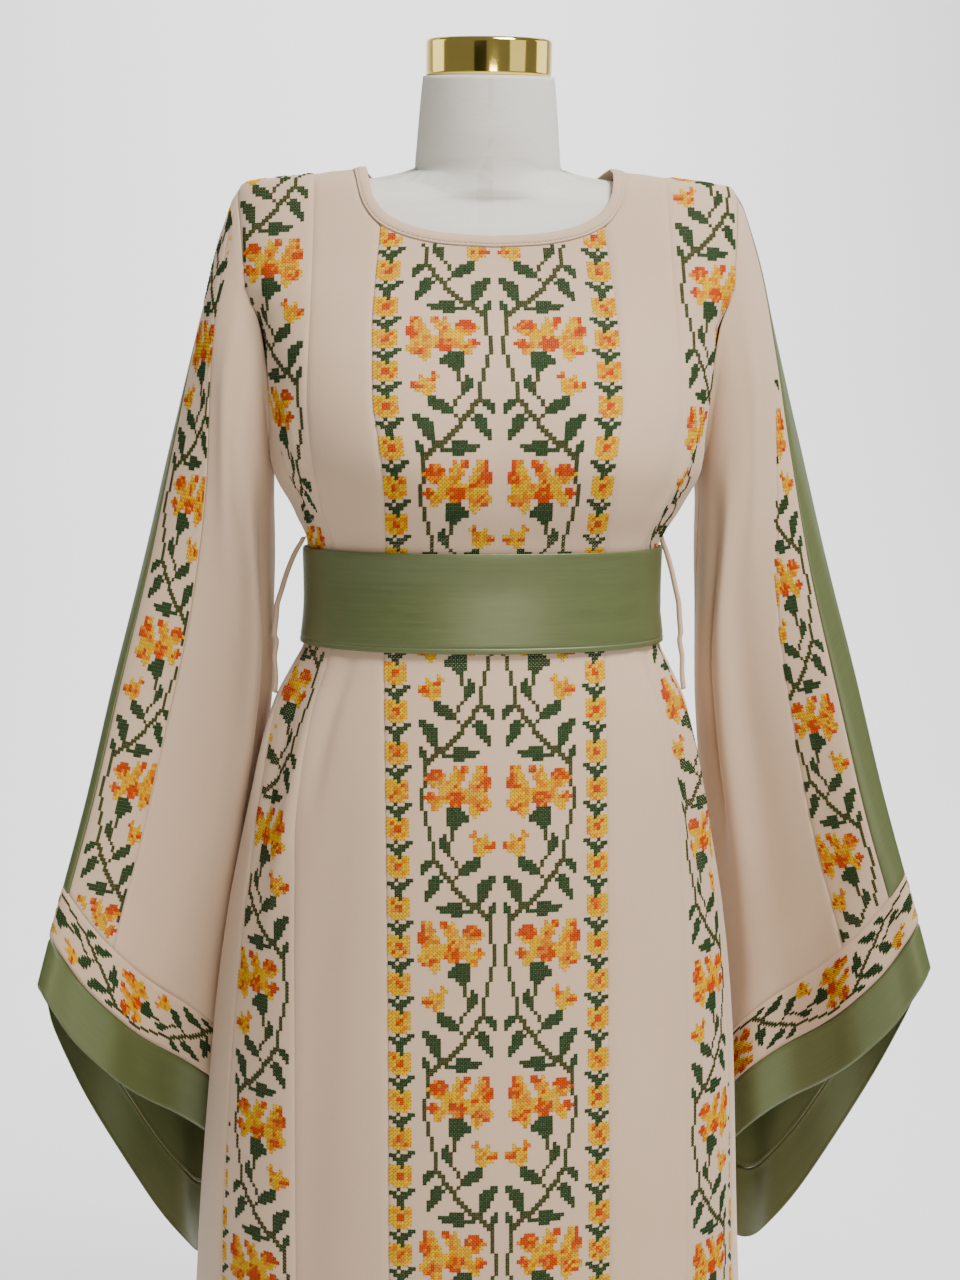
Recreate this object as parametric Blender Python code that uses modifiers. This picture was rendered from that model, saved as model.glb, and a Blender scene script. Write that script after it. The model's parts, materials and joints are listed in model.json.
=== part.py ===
"""Thobe robe on a limbless dress form: metres, +Z up, the robe's front faces -Y, the floor is z = 0."""

import math
from collections import namedtuple

import bmesh
import bpy
import numpy as np

WALL = 0.0015  # cloth wall
SEAM = 0.0003  # gap left between two sewn edges
SHIFT_Y = -0.00912  # puts the middle of the whole object's box over the origin
HEM = 0.020  # hem height above the floor
SPLIT = 1.280  # rows are level below this height
TOP = 1.418  # neck point of the shoulder seam

# Inner face of the robe's body, as closed rings. power is the ring's superellipse exponent.
Ring = namedtuple("Ring", "height half front back power")
ROBE_RINGS = (
    Ring(0.000, 0.2580, 0.2120, 0.2300, 2.10),
    Ring(0.250, 0.2450, 0.1920, 0.2130, 2.10),
    Ring(0.470, 0.2333, 0.1710, 0.1960, 2.10),
    Ring(0.640, 0.2243, 0.1560, 0.1770, 2.12),
    Ring(0.710, 0.2197, 0.1490, 0.1690, 2.14),
    Ring(0.800, 0.2095, 0.1400, 0.1580, 2.16),
    Ring(0.860, 0.1990, 0.1330, 0.1480, 2.18),
    Ring(0.914, 0.1885, 0.1265, 0.1370, 2.20),
    Ring(0.960, 0.1785, 0.1205, 0.1240, 2.20),
    Ring(0.985, 0.1705, 0.1165, 0.1160, 2.20),
    Ring(1.010, 0.1580, 0.1120, 0.1050, 2.20),
    Ring(1.032, 0.1475, 0.1085, 0.0945, 2.20),
    Ring(1.072, 0.1445, 0.1080, 0.0910, 2.20),
    Ring(1.112, 0.1447, 0.1140, 0.0920, 2.20),
    Ring(1.145, 0.1570, 0.1275, 0.0965, 2.30),
    Ring(1.178, 0.1735, 0.1335, 0.1000, 2.40),
    Ring(1.213, 0.1790, 0.1265, 0.1020, 2.60),
    Ring(1.250, 0.1835, 0.1110, 0.1035, 2.80),
    Ring(1.288, 0.1910, 0.0885, 0.1035, 3.10),
    Ring(1.325, 0.2060, 0.0695, 0.0985, 3.40),
    Ring(1.362, 0.2085, 0.0555, 0.0885, 3.50),
    Ring(1.380, 0.2070, 0.0485, 0.0795, 3.50),
    Ring(1.3915, 0.2045, 0.0440, 0.0725, 3.50),
    Ring(1.402, 0.2000, 0.0380, 0.0625, 3.50),
    Ring(1.410, 0.1510, 0.0290, 0.0455, 3.50),
    Ring(1.418, 0.0990, 0.0020, 0.0030, 3.50),
)
BUST = dict(out=0.0065, x=0.082, z=1.186, wide=0.045, high=0.050)  # each side's soft rise
BACK_LIFT = dict(rise=0.24, low=1.23, high=1.38)  # the back of a ring sits higher near the neck
Lean = namedtuple("Lean", "height share")  # the wearer's right side is fuller, by this share of the width
LEAN = (
    Lean(0.0, 0.075),
    Lean(0.50, 0.070),
    Lean(0.70, 0.052),
    Lean(0.80, 0.047),
    Lean(0.95, 0.044),
    Lean(1.033, 0.038),
    Lean(1.112, 0.034),
    Lean(1.15, 0.012),
    Lean(1.20, 0.005),
    Lean(1.25, 0.0),
)

# Linen torso: its own rings below the bust and across the shoulder end, robe rings less a gap above.
TORSO_RINGS = (
    Ring(0.770, 0.1600, 0.1060, 0.1200, 2.15),
    Ring(0.820, 0.1730, 0.1160, 0.1330, 2.15),
    Ring(0.860, 0.1745, 0.1170, 0.1330, 2.18),
    Ring(0.914, 0.1690, 0.1150, 0.1240, 2.20),
    Ring(0.960, 0.1600, 0.1110, 0.1130, 2.20),
    Ring(1.005, 0.1460, 0.1060, 0.0990, 2.20),
    Ring(1.032, 0.1385, 0.1040, 0.0905, 2.20),
    Ring(1.072, 0.1370, 0.1035, 0.0870, 2.20),
    Ring(1.112, 0.1370, 0.1075, 0.0880, 2.20),
    Ring(1.145, 0.1500, 0.1215, 0.0930, 2.30),
    Ring(1.178, 0.1630, 0.1327, 0.0990, 2.40),
    Ring(1.213, 0.1675, 0.1257, 0.1012, 2.60),
    Ring(1.250, 0.1720, 0.1077, 0.1027, 2.80),
    Ring(1.288, 0.1770, 0.0877, 0.1027, 3.10),
    Ring(1.325, 0.1850, 0.0687, 0.0977, 3.40),
    Ring(1.362, 0.1860, 0.0547, 0.0877, 3.50),
    Ring(1.380, 0.1840, 0.0477, 0.0787, 3.50),
    Ring(1.3915, 0.1800, 0.0432, 0.0717, 3.50),
    Ring(1.402, 0.1700, 0.0372, 0.0617, 3.50),
    Ring(1.410, 0.1400, 0.0275, 0.0437, 3.50),
    Ring(1.4175, 0.0900, 0.0015, 0.0025, 3.50),
)
TORSO_GAP = 0.0012
SHOULDER_DROP = 0.0056  # the form's shoulders lie this much lower than their rings
NECK = dict(
    centre_y=0.010, lean=0.19, base=1.418, top=1.4915,
    fade_front=(1.366, 1.396), fade_back=(1.398, 1.418),
)
Neck = namedtuple("Neck", "height radius")
NECK_SIZES = (
    Neck(1.360, 0.0600),
    Neck(1.418, 0.0600),
    Neck(1.440, 0.0585),
    Neck(1.470, 0.0558),
    Neck(1.4915, 0.0535),
)
CAP = dict(radius=0.0512, high=0.0285, edge=0.0035)
POLE = dict(radius=0.0125, low=0.0185, high=0.7697)
BASE = dict(radius=0.160, high=0.018, edge=0.005, collar=0.024, collar_high=0.045)

# Panel borders across the front, as half widths at each height.
Border = namedtuple("Border", "height centre plain")
BORDERS = (
    Border(0.000, 0.0870, 0.1590),
    Border(0.583, 0.0867, 0.1585),
    Border(0.745, 0.0865, 0.1575),
    Border(0.880, 0.0868, 0.1550),
    Border(0.930, 0.0870, 0.1490),
    Border(0.980, 0.0872, 0.1400),
    Border(1.032, 0.0870, 0.1280),
    Border(1.112, 0.0853, 0.1255),
    Border(1.145, 0.0865, 0.1330),
    Border(1.178, 0.0890, 0.1410),
    Border(1.235, 0.0959, 0.1460),
    Border(1.281, 0.0960, 0.1445),
    Border(1.330, 0.0925, 0.1425),
    Border(1.366, 0.0890, 0.1415),
    Border(1.418, 0.0880, 0.1410),
)
Strip = namedtuple("Strip", "height width")  # cross-stitched side panel, along the cloth
SIDE_STRIP = (
    Strip(0.0, 0.088),
    Strip(0.50, 0.080),
    Strip(0.66, 0.072),
    Strip(0.80, 0.060),
    Strip(0.88, 0.053),
    Strip(1.00, 0.046),
    Strip(1.032, 0.042),
    Strip(1.112, 0.040),
    Strip(1.18, 0.045),
    Strip(1.24, 0.058),
)
BACK_BORDER = 1.16  # the side panel ends this far round: 1 is the side, 2 the middle of the back
ARMHOLE = dict(mid=1.292, high=0.110, front=0.041, back=0.054)
SHOULDER_TIP = 0.1998
NECK_CLEAR = 0.0019  # gap between the neck binding and the panels, wide enough for the flat facets

Edge = namedtuple("Edge", "x height")
NECK_IN = (
    Edge(0, 1.3570),
    Edge(0.035, 1.3590),
    Edge(0.065, 1.3650),
    Edge(0.0850, 1.3760),
    Edge(0.0945, 1.3900),
    Edge(0.0978, 1.4045),
    Edge(0.0997, 1.418),
)
NECK_OUT = (
    Edge(0, 1.3490),
    Edge(0.037, 1.3510),
    Edge(0.069, 1.3575),
    Edge(0.0915, 1.3695),
    Edge(0.1025, 1.3860),
    Edge(0.1068, 1.4030),
    Edge(0.1092, 1.416),
)
BACK_IN = (
    Edge(0, 1.3905),
    Edge(0.035, 1.3910),
    Edge(0.065, 1.3935),
    Edge(0.084, 1.3985),
    Edge(0.0950, 1.4050),
    Edge(0.0990, 1.4115),
    Edge(0.0997, 1.418),
)
BACK_OUT = (
    Edge(0, 1.3820),
    Edge(0.037, 1.3828),
    Edge(0.070, 1.3858),
    Edge(0.0920, 1.3915),
    Edge(0.1040, 1.3995),
    Edge(0.1082, 1.4080),
    Edge(0.1092, 1.416),
)

ROWS_LOW = (
    HEM, 0.13, 0.26, 0.40, 0.54, 0.66, 0.76, 0.84, 0.90, 0.95, 0.985,
    1.012, 1.030, 1.048, 1.076, 1.111, 1.132, 1.158, 1.182, 1.207, 1.232, 1.257, 1.28,
)
RISE_NECK = (0.3, 0.6, 0.82, 1.0)
RISE_SHOULDER = (0.22, 0.42, 0.60, 0.74, 0.85, 0.92, 0.965, 0.99, 1.0)

# Sleeve: outer line, underarm line, half thickness, how much of it is taken off near the outer line,
# how far the front layer is lifted and the back layer lowered near the underarm, and how far both sag.
Sleeve = namedtuple("Sleeve", "along out_x out_y out_z in_x in_y in_z half drop lift sag")
SLEEVE = (
    Sleeve(0.00, 0.2000, 0.000, 1.402, 0.1775, 0.000, 1.182, 0.044, 0.00, 0.000, 0.000),
    Sleeve(0.07, 0.2175, -0.001, 1.355, 0.1795, 0.006, 1.135, 0.048, 0.00, 0.000, 0.000),
    Sleeve(0.15, 0.2330, -0.003, 1.302, 0.1815, 0.018, 1.083, 0.050, 0.05, 0.000, 0.000),
    Sleeve(0.30, 0.2580, -0.008, 1.202, 0.1860, 0.046, 0.983, 0.050, 0.15, 0.004, 0.000),
    Sleeve(0.45, 0.2815, -0.014, 1.102, 0.1980, 0.074, 0.882, 0.049, 0.30, 0.012, 0.004),
    Sleeve(0.60, 0.3075, -0.020, 1.002, 0.2100, 0.098, 0.785, 0.049, 0.42, 0.026, 0.010),
    Sleeve(0.75, 0.3320, -0.027, 0.902, 0.2160, 0.120, 0.690, 0.049, 0.50, 0.046, 0.020),
    Sleeve(0.86, 0.3505, -0.033, 0.835, 0.2150, 0.134, 0.605, 0.050, 0.52, 0.064, 0.028),
    Sleeve(0.93, 0.3625, -0.038, 0.792, 0.2130, 0.142, 0.545, 0.051, 0.53, 0.077, 0.034),
    Sleeve(1.00, 0.3735, -0.043, 0.750, 0.2100, 0.150, 0.480, 0.052, 0.54, 0.090, 0.040),
)
BAND_TOP = 0.865
BAND_END = 0.933
SKIRT_CLEAR = 0.006
SLEEVE_WAVES = dict(count=3, out=0.014, phase=0.9)

# Sleeve strips: distances along the ring from the outer line, towards the front. One table a side.
Trim = namedtuple("Trim", "along satin_back satin_front stitched")
TRIM_RIGHT = (
    Trim(0.0, 0.004, 0.014, 0.017),
    Trim(0.12, -0.004, 0.024, 0.030),
    Trim(0.28, -0.010, 0.024, 0.052),
    Trim(0.45, -0.012, 0.024, 0.078),
    Trim(0.7, -0.012, 0.024, 0.086),
    Trim(1.0, -0.012, 0.024, 0.086),
)
TRIM_LEFT = (
    Trim(0.0, -0.020, -0.006, 0.026),
    Trim(0.12, -0.028, 0.002, 0.058),
    Trim(0.28, -0.030, 0.006, 0.068),
    Trim(0.45, -0.030, 0.006, 0.068),
    Trim(0.7, -0.030, 0.006, 0.068),
    Trim(1.0, -0.030, 0.006, 0.068),
)

BELT = dict(low=1.0318, high=1.1115, gap=0.0026, overlap=0.10, lift=0.0030)
Loop = namedtuple("Loop", "height out")  # belt loop: how far it stands out from the robe's side
LOOP = (
    Loop(0.9880, 0.0022),
    Loop(0.9960, 0.0060),
    Loop(1.0150, 0.0185),
    Loop(1.0360, 0.0255),
    Loop(1.0580, 0.0255),
    Loop(1.0790, 0.0205),
    Loop(1.1000, 0.0130),
    Loop(1.1135, 0.0062),
    Loop(1.1200, 0.0022),
)
LOOP_SHARE = dict(r=0.75, l=1.0)
LOOP_ROUND = 0.955
LOOP_WIDE = 0.005
LOOP_WALL = 0.0012


def smooth(at, stations, values):
    """Monotone cubic through the stations, held level beyond both ends."""
    x = np.asarray(stations, float)
    y = np.asarray(values, float)
    at = np.clip(np.asarray(at, float), x[0], x[-1])
    step = np.diff(x)
    slope = np.diff(y) / step
    tangent = np.empty_like(y)
    tangent[0] = slope[0]
    tangent[-1] = slope[-1]
    left = slope[:-1]
    right = slope[1:]
    w1 = 2 * step[1:] + step[:-1]
    w2 = step[1:] + 2 * step[:-1]
    same = left * right > 0
    safe_left = np.where(same, left, 1.0)
    safe_right = np.where(same, right, 1.0)
    tangent[1:-1] = np.where(same, (w1 + w2) / (w1 / safe_left + w2 / safe_right), 0.0)
    i = np.clip(np.searchsorted(x, at, side="right") - 1, 0, len(x) - 2)
    h = step[i]
    t = (at - x[i]) / h
    low = (1 + 2 * t) * (1 - t) ** 2 * y[i] + t * (1 - t) ** 2 * h * tangent[i]
    high = t * t * (3 - 2 * t) * y[i + 1] + t * t * (t - 1) * h * tangent[i + 1]
    return low + high


def column(table, at, name):
    """One named column of a short table, read at any station."""
    return smooth(at, [row[0] for row in table], [getattr(row, name) for row in table])


def step_up(value, low, high):
    t = np.clip((np.asarray(value, float) - low) / (high - low), 0, 1)
    return t * t * (3 - 2 * t)


def back_lift(height, y):
    rise = BACK_LIFT["rise"] * step_up(height, BACK_LIFT["low"], BACK_LIFT["high"])
    return rise * np.maximum(y, 0)


def bust_rise(x, height):
    across = np.exp(-(((np.abs(x) - BUST["x"]) / BUST["wide"]) ** 2))
    up = np.exp(-(((height - BUST["z"]) / BUST["high"]) ** 2))
    return BUST["out"] * across * up


def quarter(half, depth, power, count):
    """Points of a quarter ring from the middle (x = 0) to the side (y = 0), as rows for each height."""
    turn = np.linspace(0, math.pi / 2, count)[None, :]
    angle = np.arctan2(half[:, None] * np.sin(turn), np.maximum(depth, 1e-4)[:, None] * np.cos(turn))
    sin = np.abs(np.sin(angle)) / half[:, None]
    cos = np.abs(np.cos(angle)) / np.maximum(depth, 1e-4)[:, None]
    reach = (sin ** power[:, None] + cos ** power[:, None]) ** (-1 / power[:, None])
    return reach * np.sin(angle), reach * np.cos(angle)


class Surface:
    """The robe's body as a chart: (round, height), round 0 at the front middle, 1 the side, 2 the back."""

    def __init__(self, rings):
        self.heights = np.concatenate([np.arange(0.0, 1.378, 0.004), np.linspace(1.38, TOP, 96)])
        half = column(rings, self.heights, "half")
        self.half = half
        power = column(rings, self.heights, "power")
        front = column(rings, self.heights, "front")
        back = column(rings, self.heights, "back")
        fx, fy = quarter(half, front, power, 181)
        bx, by = quarter(half, back, power, 181)
        level = self.heights[:, None]
        fy = -(fy + bust_rise(fx, level) * (fy > 0.03))
        parts = [self.even(fx, fy), self.even(bx[:, ::-1], by[:, ::-1])]
        x = np.hstack([parts[0][0], parts[1][0][:, 1:]])
        y = np.hstack([parts[0][1], parts[1][1][:, 1:]])
        self.steps = x.shape[1] - 1
        self.length = parts[0][2]
        self.points = np.stack([x, y, level + back_lift(level, y)], axis=-1)
        d_round = np.gradient(self.points, axis=1)
        d_up = np.gradient(self.points, self.heights, axis=0)
        normal = np.cross(d_round, d_up)
        self.normals = normal / np.maximum(np.linalg.norm(normal, axis=-1, keepdims=True), 1e-12)

    @staticmethod
    def even(x, y, count=121):
        """The same curve with its points evenly spaced along it."""
        run = np.hypot(np.diff(x, axis=1), np.diff(y, axis=1))
        along = np.concatenate([np.zeros((len(x), 1)), np.cumsum(run, axis=1)], axis=1)
        total = along[:, -1]
        share = np.linspace(0, 1, count)
        out_x = np.array([np.interp(share * total[i], along[i], x[i]) for i in range(len(x))])
        out_y = np.array([np.interp(share * total[i], along[i], y[i]) for i in range(len(x))])
        return out_x, out_y, total

    def read(self, table, around, height):
        around = np.asarray(around, float)
        height = np.asarray(height, float)
        around, height = np.broadcast_arrays(around, height)
        turn = np.mod(around + 2, 4) - 2
        side = np.where(turn < 0, -1.0, 1.0)
        col = np.abs(turn) / 2 * self.steps
        i = np.clip(np.searchsorted(self.heights, height, side="right") - 1, 0, len(self.heights) - 2)
        j = np.clip(col.astype(int), 0, self.steps - 1)
        a = ((height - self.heights[i]) / (self.heights[i + 1] - self.heights[i]))[..., None]
        b = (col - j)[..., None]
        low = table[i, j] * (1 - b) + table[i, j + 1] * b
        high = table[i + 1, j] * (1 - b) + table[i + 1, j + 1] * b
        value = low * (1 - a) + high * a
        value[..., 0] *= side
        return value

    def even_at(self, around, height):
        """The point on the surface before one side is made fuller."""
        return self.read(self.points, around, height)

    def at(self, around, height, out=0.0):
        normal = self.read(self.normals, around, height)
        normal /= np.linalg.norm(normal, axis=-1, keepdims=True)
        points = self.read(self.points, around, height)
        half = np.interp(points[..., 2], self.heights, self.half)
        share = column(LEAN, points[..., 2], "share") * np.minimum((points[..., 0] / half) ** 2, 1)
        points[..., 0] *= 1 - np.sign(points[..., 0]) * share
        return points + normal * np.asarray(out, float)[..., None]

    def front_length(self, height):
        return np.interp(height, self.heights, self.length)

    def solve(self, axis, wanted, height, low, high):
        """Round value between low and high where the coordinate on this axis is as wanted."""
        wanted, height = np.broadcast_arrays(np.asarray(wanted, float), np.asarray(height, float))
        a = np.full(wanted.shape, float(low))
        b = np.full(wanted.shape, float(high))
        rising = self.even_at(b, height)[..., axis] > self.even_at(a, height)[..., axis]
        for _ in range(40):
            mid = (a + b) / 2
            over = (self.even_at(mid, height)[..., axis] > wanted) == rising
            b = np.where(over, mid, b)
            a = np.where(over, a, mid)
        return (a + b) / 2

    def ridge(self, x):
        """Height of the shoulder seam at this distance from the middle."""
        part = self.heights >= ROBE_RINGS[-3].height
        half = self.points[part, self.steps // 2, 0]
        return np.interp(x, half[::-1], self.heights[part][::-1])


def rows_to(top, rises):
    """Row heights of one border: level up to SPLIT, then shared out up to its own top."""
    upper = SPLIT + (np.asarray(top, float) - SPLIT) * np.asarray(rises, float)
    return np.concatenate([ROWS_LOW, upper])


def patch(left, right, top, bottom=None):
    """Fills four borders, each an array of (round, height), with a grid."""
    rows = np.linspace(0, 1, len(left))
    cols = np.linspace(0, 1, len(top))
    rise = (left[:, 1] - left[0, 1]) / (left[-1, 1] - left[0, 1])
    if bottom is None:
        bottom = left[0] * (1 - cols[:, None]) + right[0] * cols[:, None]
    f = cols[None, :, None]
    v = rise[:, None, None] ** 6 * (rows[:, None, None] > 0)
    across = left[:, None] * (1 - f) + right[:, None] * f
    foot = bottom[None] - (bottom[0] * (1 - f) + bottom[-1] * f)
    head = top[None] - (top[0] * (1 - f) + top[-1] * f)
    return across + foot * (1 - rise[:, None, None]) + head * v


def link(points, name, collection, wall, color, finish, outward=1.0, close=False):
    """One open grid of points as a mesh with a Solidify wall."""
    rows, cols = points.shape[:2]
    mesh = bpy.data.meshes.new(name)
    flat = (points + np.array([0, SHIFT_Y, 0])).reshape(-1, 3)
    faces = []
    last = cols if close else cols - 1
    for i in range(rows - 1):
        for j in range(last):
            k = (j + 1) % cols
            faces.append((i * cols + j, i * cols + k, (i + 1) * cols + k, (i + 1) * cols + j))
    mesh.from_pydata([tuple(map(float, p)) for p in flat], [], faces)
    mesh.update()
    obj = bpy.data.objects.new(name, mesh)
    collection.objects.link(obj)
    if wall:
        shell = obj.modifiers.new("wall", "SOLIDIFY")
        shell.thickness = wall
        shell.offset = outward
        shell.use_even_offset = False
        shell.use_quality_normals = True
    obj.data.materials.append(material(name, color, finish))
    for face in obj.data.polygons:
        face.use_smooth = True
    return obj


def material(name, color, finish):
    made = bpy.data.materials.new(name)
    made.use_nodes = True
    shader = made.node_tree.nodes["Principled BSDF"]
    shader.inputs["Base Color"].default_value = (*color, 1)
    shader.inputs["Roughness"].default_value = finish[0]
    shader.inputs["Metallic"].default_value = finish[1]
    return made


CREPE = ((0.58, 0.46, 0.37), (0.85, 0.0))
STITCHED = ((0.60, 0.45, 0.30), (0.85, 0.0))
SATIN = ((0.17, 0.20, 0.075), (0.35, 0.0))
LINEN = ((0.72, 0.69, 0.62), (0.9, 0.0))
GOLD = ((0.85, 0.60, 0.22), (0.2, 1.0))
STEEL = ((0.6, 0.6, 0.6), (0.3, 1.0))


def trimmed(around, height, surface, gap):
    """Moves a border along the ring by a share of the seam gap."""
    return around + gap / surface.front_length(height)


def curve_of(table, surface, count, back=False, clear=0.0):
    """A neck edge as (round, height) points, from the middle out to the shoulder seam, moved out by clear."""
    share = np.linspace(0, 1, 61)
    xs = smooth(share, np.linspace(0, 1, len(table)), [row.x for row in table])
    tops = [row.height for row in table[:-1]] + [surface.ridge(table[-1].x)]
    zs = smooth(share, np.linspace(0, 1, len(table)), tops)
    along_x, along_z = np.gradient(xs), np.gradient(zs)
    size = np.hypot(along_x, along_z)
    xs, zs = xs + clear * along_z / size, zs - clear * along_x / size
    zs[-1] = surface.ridge(xs[-1])
    run = np.concatenate([[0], np.cumsum(np.hypot(np.diff(xs), np.diff(zs)))])
    x = np.interp(np.linspace(0, run[-1], count), run, xs)
    z = np.interp(np.linspace(0, run[-1], count), run, zs)
    low, high = (1, 2) if back else (0, 1)
    around = surface.solve(0, x, z, low, high)
    keep = 1 + (1 if back else -1) * SEAM / 2 / surface.front_length(z)
    around = np.maximum(around, keep) if back else np.minimum(around, keep)
    around[0] = 2.0 if back else 0.0
    return np.stack([around, z], axis=-1)


def armhole(surface, height, back=False):
    """Round value of the armhole edge at each height."""
    cos = np.clip((np.asarray(height, float) - ARMHOLE["mid"]) / ARMHOLE["high"], -1, 1)
    deep = ARMHOLE["back" if back else "front"] * np.sqrt(1 - cos * cos)
    if back:
        return surface.solve(1, deep, height, 1, 2)
    return surface.solve(1, -deep, height, 0, 1)


def side_border(surface, height):
    """Outer edge of the cross-stitched side panel, by its width along the cloth."""
    inner = surface.solve(0, column(BORDERS, height, "plain"), height, 0, 1)
    return inner + column(SIDE_STRIP, height, "width") / surface.front_length(height)


def ridge_border(surface, x_from, x_to, count, back=False):
    x = np.linspace(x_from, x_to, count)
    z = surface.ridge(x)
    sign = 1 if back else -1
    around = 1 + sign * SEAM / 2 / surface.front_length(z)
    return np.stack([around, z], axis=-1)


def armpit_height(surface):
    """Height at which the side border runs into the armhole's front edge."""
    z = np.linspace(1.184, 1.28, 385)
    gap = side_border(surface, z) - armhole(surface, z)
    return float(z[np.argmax(gap > 0)])


def body_panels(robe, collection):
    meet = armpit_height(robe)
    half_seam = SEAM / 2

    # Front middle: level rows up to the neck binding.
    neck = curve_of(NECK_OUT, robe, 61, clear=NECK_CLEAR)
    neck_x = robe.even_at(neck[:, 0], neck[:, 1])[:, 0]
    seam_top_z = float(np.interp(0.0888, neck_x, neck[:, 1]))
    middle = np.stack([np.zeros(27), rows_to(neck[0, 1], RISE_NECK)], axis=-1)
    z = rows_to(seam_top_z, RISE_NECK)
    edge = robe.solve(0, column(BORDERS, z, "centre"), z, 0, 1)
    outer = np.stack([trimmed(edge, z, robe, -half_seam), z], axis=-1)
    top_x = np.linspace(0, 0.0886, 5)
    top_z = np.interp(top_x, neck_x, neck[:, 1])
    top = np.stack([robe.solve(0, top_x, top_z, 0, 1), top_z], axis=-1)
    top[0], top[-1] = middle[-1], outer[-1]
    half = patch(middle, outer, top)
    whole = np.concatenate([half[:, :0:-1] * np.array([-1, 1]), half], axis=1)
    link(robe.at(whole[..., 0], whole[..., 1]), "front_centre_panel", collection, WALL, *STITCHED)

    # Plain front panel: its inner edge leaves the seam for the neck binding near the top.
    z = rows_to(neck[-1, 1], RISE_SHOULDER)
    seam = robe.solve(0, column(BORDERS, z, "centre"), z, 0, 1)
    along_neck = np.interp(z, neck[:, 1], neck[:, 0])
    inner_round = np.where(z > seam_top_z, np.maximum(seam, along_neck), seam)
    inner = np.stack([trimmed(inner_round, z, robe, half_seam), z], axis=-1)
    neck_point = NECK_OUT[-1].x + NECK_CLEAR
    ridge = ridge_border(robe, neck_point, 0.141 - half_seam, 5)
    inner[-1] = ridge[0]
    z = rows_to(ridge[-1, 1], RISE_SHOULDER)
    edge = robe.solve(0, column(BORDERS, z, "plain"), z, 0, 1)
    edge = np.minimum(edge, 1 - half_seam / robe.front_length(z))
    outer = np.stack([trimmed(edge, z, robe, -half_seam), z], axis=-1)
    outer[-1] = ridge[-1]
    plain = patch(inner, outer, ridge)

    # Cross-stitched side panel, from the shoulder and armhole to the hem.
    ridge = ridge_border(robe, 0.141 + half_seam, SHOULDER_TIP, 5)
    z = rows_to(ridge[0, 1], RISE_SHOULDER)
    edge = robe.solve(0, column(BORDERS, z, "plain"), z, 0, 1)
    inner = np.stack([trimmed(edge, z, robe, half_seam), z], axis=-1)
    inner[-1] = ridge[0]
    z = rows_to(ridge[-1, 1], RISE_SHOULDER)
    side = trimmed(side_border(robe, z), z, robe, -half_seam)
    hole = armhole(robe, z)
    outer = np.stack([np.where(z < meet, side, hole), z], axis=-1)
    outer[-1] = ridge[-1]
    stitched = patch(inner, outer, ridge)

    # Plain side panel: its top edge is the bottom of the armhole.
    back_meet_z = np.linspace(1.184, 1.25, 241)
    back_gap = armhole(robe, back_meet_z, True) - BACK_BORDER
    back_meet = float(back_meet_z[np.argmax(back_gap > 0)])
    z = np.array([row for row in ROWS_LOW if row < meet - 0.004] + [meet])
    inner = np.stack([trimmed(side_border(robe, z), z, robe, half_seam), z], axis=-1)
    z = np.where(z < 1.15, z, 1.15 + (z - 1.15) * (back_meet - 1.15) / (meet - 1.15))
    outer = np.stack([np.full(len(z), BACK_BORDER) - half_seam / robe.front_length(z), z], axis=-1)
    around = np.linspace(inner[-1, 0], outer[-1, 0], 8)
    lows = np.linspace(1.1823, 1.28, 300)
    front_hole = armhole(robe, lows)
    back_hole = armhole(robe, lows, True)
    front_top = np.interp(around, front_hole[::-1], lows[::-1])
    back_top = np.interp(around, back_hole, lows)
    top_z = np.where(around < 1, front_top, back_top)
    top = np.stack([around, top_z], axis=-1)
    top[0], top[-1] = inner[-1], outer[-1]
    side = patch(inner, outer, top)

    # Back: one piece, built as half a grid from the side in to the middle, then mirrored.
    ridge = ridge_border(robe, SHOULDER_TIP, neck_point, 5, True)
    nape = curve_of(BACK_OUT, robe, 7, True, NECK_CLEAR)[::-1]
    top = np.concatenate([ridge, nape[1:]])
    share = np.linspace(0, 1, len(top))[None, :]
    low = np.array(ROWS_LOW)[:, None]
    hole = armhole(robe, np.maximum(low, 1.1821), True)
    edge = np.where(low < back_meet, BACK_BORDER + half_seam / robe.front_length(low), hole)
    low_round = edge * (1 - share) + 2.0 * share
    low_grid = np.stack([low_round, np.broadcast_to(low, low_round.shape)], axis=-1)
    rise = np.array(RISE_SHOULDER)[:, None]
    z = SPLIT + (top[None, :, 1] - SPLIT) * rise
    x_low = robe.even_at(low_round[-1:], np.full_like(low_round[-1:], SPLIT))[..., 0]
    x_top = robe.even_at(top[:, 0], top[:, 1])[None, :, 0]
    x = x_low * (1 - rise) + x_top * rise
    bow = robe.even_at(armhole(robe, z[:, :1], True), z[:, :1])[..., 0] - x[:, :1]
    around = robe.solve(0, x + bow * (1 - share) ** 2, z, 1, 2)
    around = np.maximum(around, 1 + half_seam / robe.front_length(z))
    around[:, -1] = 2.0
    around[:, 0] = armhole(robe, z[:, 0], True)
    around[-1] = top[:, 0]
    half = np.concatenate([low_grid, np.stack([around, z], axis=-1)])
    mirror = half[:, -2::-1].copy()
    mirror[..., 0] = 4 - mirror[..., 0]
    whole = np.concatenate([half, mirror], axis=1)
    link(robe.at(whole[..., 0], whole[..., 1]), "back_panel", collection, WALL, *CREPE)

    pairs = (
        ("front_plain_panel", plain, CREPE),
        ("front_side_panel", stitched, STITCHED),
        ("side_panel", side, CREPE),
    )
    for name, grid, look in pairs:
        link(robe.at(grid[..., 0], grid[..., 1]), name + "_r", collection, WALL, *look)
        turned_over = grid[:, ::-1]
        link(robe.at(-turned_over[..., 0], turned_over[..., 1]), name + "_l", collection, WALL, *look)


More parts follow.
